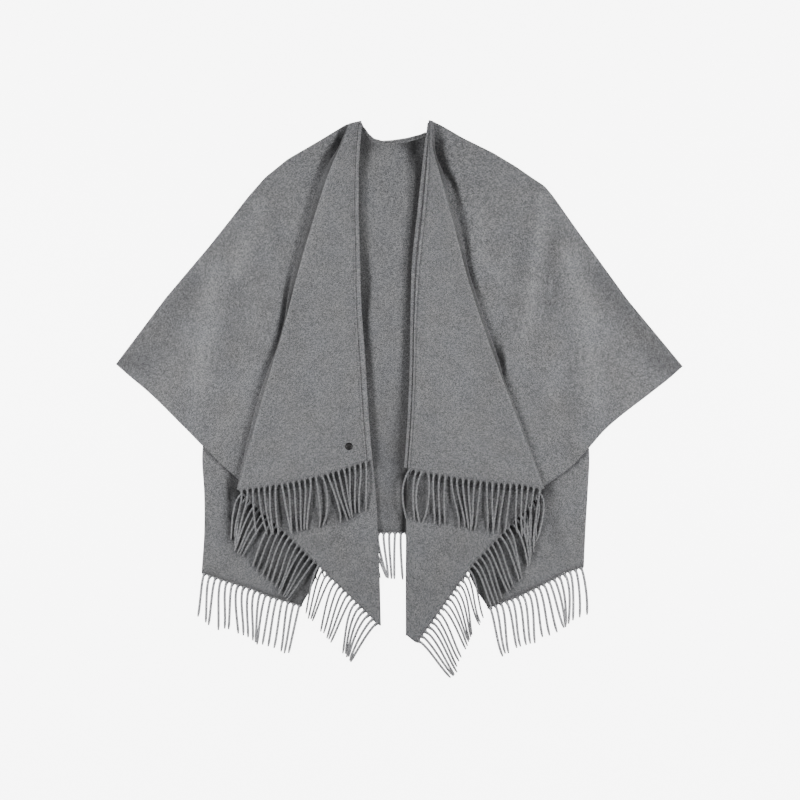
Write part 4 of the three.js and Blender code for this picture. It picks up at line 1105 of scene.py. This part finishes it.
rng = np.random.default_rng(7)
for node, side, level, hem, lay, (start, end), half_widths, arch, bunch in FRINGES:
    cords, webs = bmesh.new(), bmesh.new()
    cord_uv, web_uv = cords.loops.layers.uv.new("cloth"), webs.loops.layers.uv.new("cloth")
    cord_lit, web_lit = cords.verts.layers.float.new("light"), webs.verts.layers.float.new("light")
    hem_length = np.hypot(*np.diff(np.array(hem, dtype=float), axis=0).T).sum()
    count = int(hem_length * (end - start) / PITCH)
    shares = start + (np.arange(count) + 0.5) / count * (end - start)
    half = (end - start) / count / 2
    heading, length = lay_at(lay, shares)
    ahead = np.stack([np.cos(heading), np.sin(heading)], axis=1)
    roots = along(hem, shares)
    tips = roots + ahead * (length + 3)[:, None]
    squares = inward(along(hem, np.linspace(0, 1, 60)), along(hem, np.linspace(0, 1, 60)) + ahead[count // 2])
    squares = squares[np.clip(np.round(shares * 59).astype(int), 0, 59)]
    flat = arch < FLAT_ARCH
    loose = 0.7 if flat else 1.0
    first = 0
    while first < count:
        last = min(count, first + int(rng.integers(2, 7)))
        middle, pull = tips[first:last].mean(axis=0), rng.uniform(0.0, bunch)
        drift, bow, sway = loose * rng.normal(0, (2.5, 5.0, 2.5))
        for k in range(first, last):
            aside = np.array([-ahead[k][1], ahead[k][0]])
            tip = tips[k] + (middle - tips[k]) * pull + aside * (drift + loose * rng.normal(0, 1.2))
            tip = tip + ahead[k] * rng.normal(0, 2.0)
            t = np.linspace(0, 1, STRAND_RINGS)
            wide = np.interp(shares[k], *np.array(BOWS[lay]).T) if lay in BOWS else 0.0
            plan = strand_plan(roots[k], squares[k], tip, bow + wide + rng.normal(0, 1.5),
                               sway + wide + rng.normal(0, 0.8), t)
            thick = half_widths[0] + (half_widths[1] - half_widths[0]) * min(1, 2 * shares[k])
            if node == "fringe_back" and OPEN_FLOOR[0] < roots[k][0] < OPEN_FLOOR[1]:
                thick = OPEN_THICKNESS
            raised = 0.2 + arch * np.sin(math.pi * np.minimum(1, t * 1.1)) ** 0.9 * rng.uniform(0.7, 1.15)
            path = np.column_stack([plan, under(side, level, plan) + thick + raised])
            # Each cord's tone differs at random; thicker cords and cords that lie flat get painted light on
            # top.
            bright = rng.uniform(0.9, 1.08) * (1 + 0.5 * (thick - 2)) * (1.25 if flat else 1.14)
            add_strand(cords, cord_uv, cord_lit, path, thick, bright, 0.1 if flat else 0.55)
            add_web(webs, web_uv, web_lit, side, level, hem, shares[k], half, ahead[k])
        first = last
    bmesh.ops.remove_doubles(cords, verts=cords.verts, dist=1e-6)
    bmesh.ops.remove_doubles(webs, verts=webs.verts, dist=1e-6)
    piece = linked(node + "_strands", cords)
    piece.data.materials.append(strand_material)
    web = linked(node + "_roots", webs)
    give_wall(web, CLOTH)
    web.data.materials.append(cloth_material)
    for each in (piece, web):
        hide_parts(node)
        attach(each, "root")


# Small round stud pressed through the left front: a low dome inside a raised rim, in dark worn metal.
STUD_AT = (-102.4, -92.6)
STUD_PROFILE = [  # from its middle outwards, height over the cloth
    (0.0, 1.75), (1.6, 1.72), (3.0, 1.6), (4.2, 1.35), (4.9, 1.1), (5.3, 1.2), (5.7, 1.75), (6.2, 2.05),
    (6.8, 2.0), (7.3, 1.6), (7.5, 0.9), (7.3, 0.2),
]
STUD_ROUND = 64


def stud_metal():
    """Dark metal with fine turned lines, in small blotches that differ a little in tone and roughness."""
    material = bpy.data.materials.new("dark_metal")
    material.use_nodes = True
    nodes, links = material.node_tree.nodes, material.node_tree.links
    shader = nodes["Principled BSDF"]
    uv = nodes.new("ShaderNodeUVMap")
    uv.uv_map = "turned"
    wave = nodes.new("ShaderNodeTexWave")
    wave.bands_direction = "Y"
    wave.inputs["Scale"].default_value = 1.6
    wave.inputs["Distortion"].default_value = 0.6
    wave.inputs["Detail Scale"].default_value = 3.0
    links.new(uv.outputs["UV"], wave.inputs["Vector"])
    position = nodes.new("ShaderNodeTexCoord")
    speckle = nodes.new("ShaderNodeTexNoise")
    speckle.inputs["Scale"].default_value = 900.0
    speckle.inputs["Detail"].default_value = 3.0
    links.new(position.outputs["Object"], speckle.inputs["Vector"])
    shade = nodes.new("ShaderNodeMapRange")
    shade.inputs["From Min"].default_value = 0.35
    shade.inputs["From Max"].default_value = 0.7
    shade.inputs["To Min"].default_value = 0.0
    shade.inputs["To Max"].default_value = 1.0
    links.new(speckle.outputs[0], shade.inputs["Value"])
    tone = nodes.new("ShaderNodeMix")
    tone.data_type = "RGBA"
    tone.inputs[6].default_value = (0.022, 0.022, 0.024, 1.0)
    tone.inputs[7].default_value = (0.075, 0.073, 0.070, 1.0)
    links.new(shade.outputs[0], tone.inputs[0])
    links.new(tone.outputs[2], shader.inputs["Base Color"])
    rough = nodes.new("ShaderNodeMapRange")
    rough.inputs["To Min"].default_value = 0.34
    rough.inputs["To Max"].default_value = 0.58
    links.new(speckle.outputs[0], rough.inputs["Value"])
    links.new(rough.outputs[0], shader.inputs["Roughness"])
    shader.inputs["Metallic"].default_value = 0.85
    bump = nodes.new("ShaderNodeBump")
    bump.inputs["Strength"].default_value = 0.25
    bump.inputs["Distance"].default_value = 0.0002
    links.new(wave.outputs[0], bump.inputs["Height"])
    links.new(bump.outputs["Normal"], shader.inputs["Normal"])
    return material


around = np.array([(STUD_AT[0] + 6, STUD_AT[1]), (STUD_AT[0] - 6, STUD_AT[1]), (STUD_AT[0], STUD_AT[1] + 6),
                   (STUD_AT[0], STUD_AT[1] - 6), STUD_AT])
heights = under("left", 5, around) + CLOTH
tilt = np.array([(heights[1] - heights[0]) / 12, (heights[3] - heights[2]) / 12, 1.0])
tilt /= np.linalg.norm(tilt)
across_way = np.cross(np.array([0.0, 1.0, 0.0]), tilt)
across_way /= np.linalg.norm(across_way)
up_way = np.cross(tilt, across_way)
bm = bmesh.new()
turned = bm.loops.layers.uv.new("turned")
bmesh.ops.create_grid(bm, x_segments=STUD_ROUND, y_segments=len(STUD_PROFILE) - 1, size=1.0)
cells = {}
for vert in bm.verts:
    i = round((1 - vert.co.y) / 2 * (len(STUD_PROFILE) - 1))
    angle = round((vert.co.x + 1) / 2 * STUD_ROUND) / STUD_ROUND * 2 * math.pi
    out, high = STUD_PROFILE[i]
    place = np.array([*STUD_AT, heights[4]]) + tilt * (high + 0.1)
    place += (across_way * math.cos(angle) + up_way * math.sin(angle)) * out
    vert.co = (place[0] * MM + PLAN_SHIFT[0], place[1] * MM + PLAN_SHIFT[1], place[2] * MM)
    cells[vert] = (angle / (2 * math.pi), out)
for face in bm.faces:
    face.smooth = True
    for loop in face.loops:
        loop[turned].uv = cells[loop.vert]
bmesh.ops.remove_doubles(bm, verts=bm.verts, dist=1e-7)
stud = linked("stud_cap", bm)
stud.data.materials.append(stud_metal())
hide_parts("stud")
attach(stud, "root")
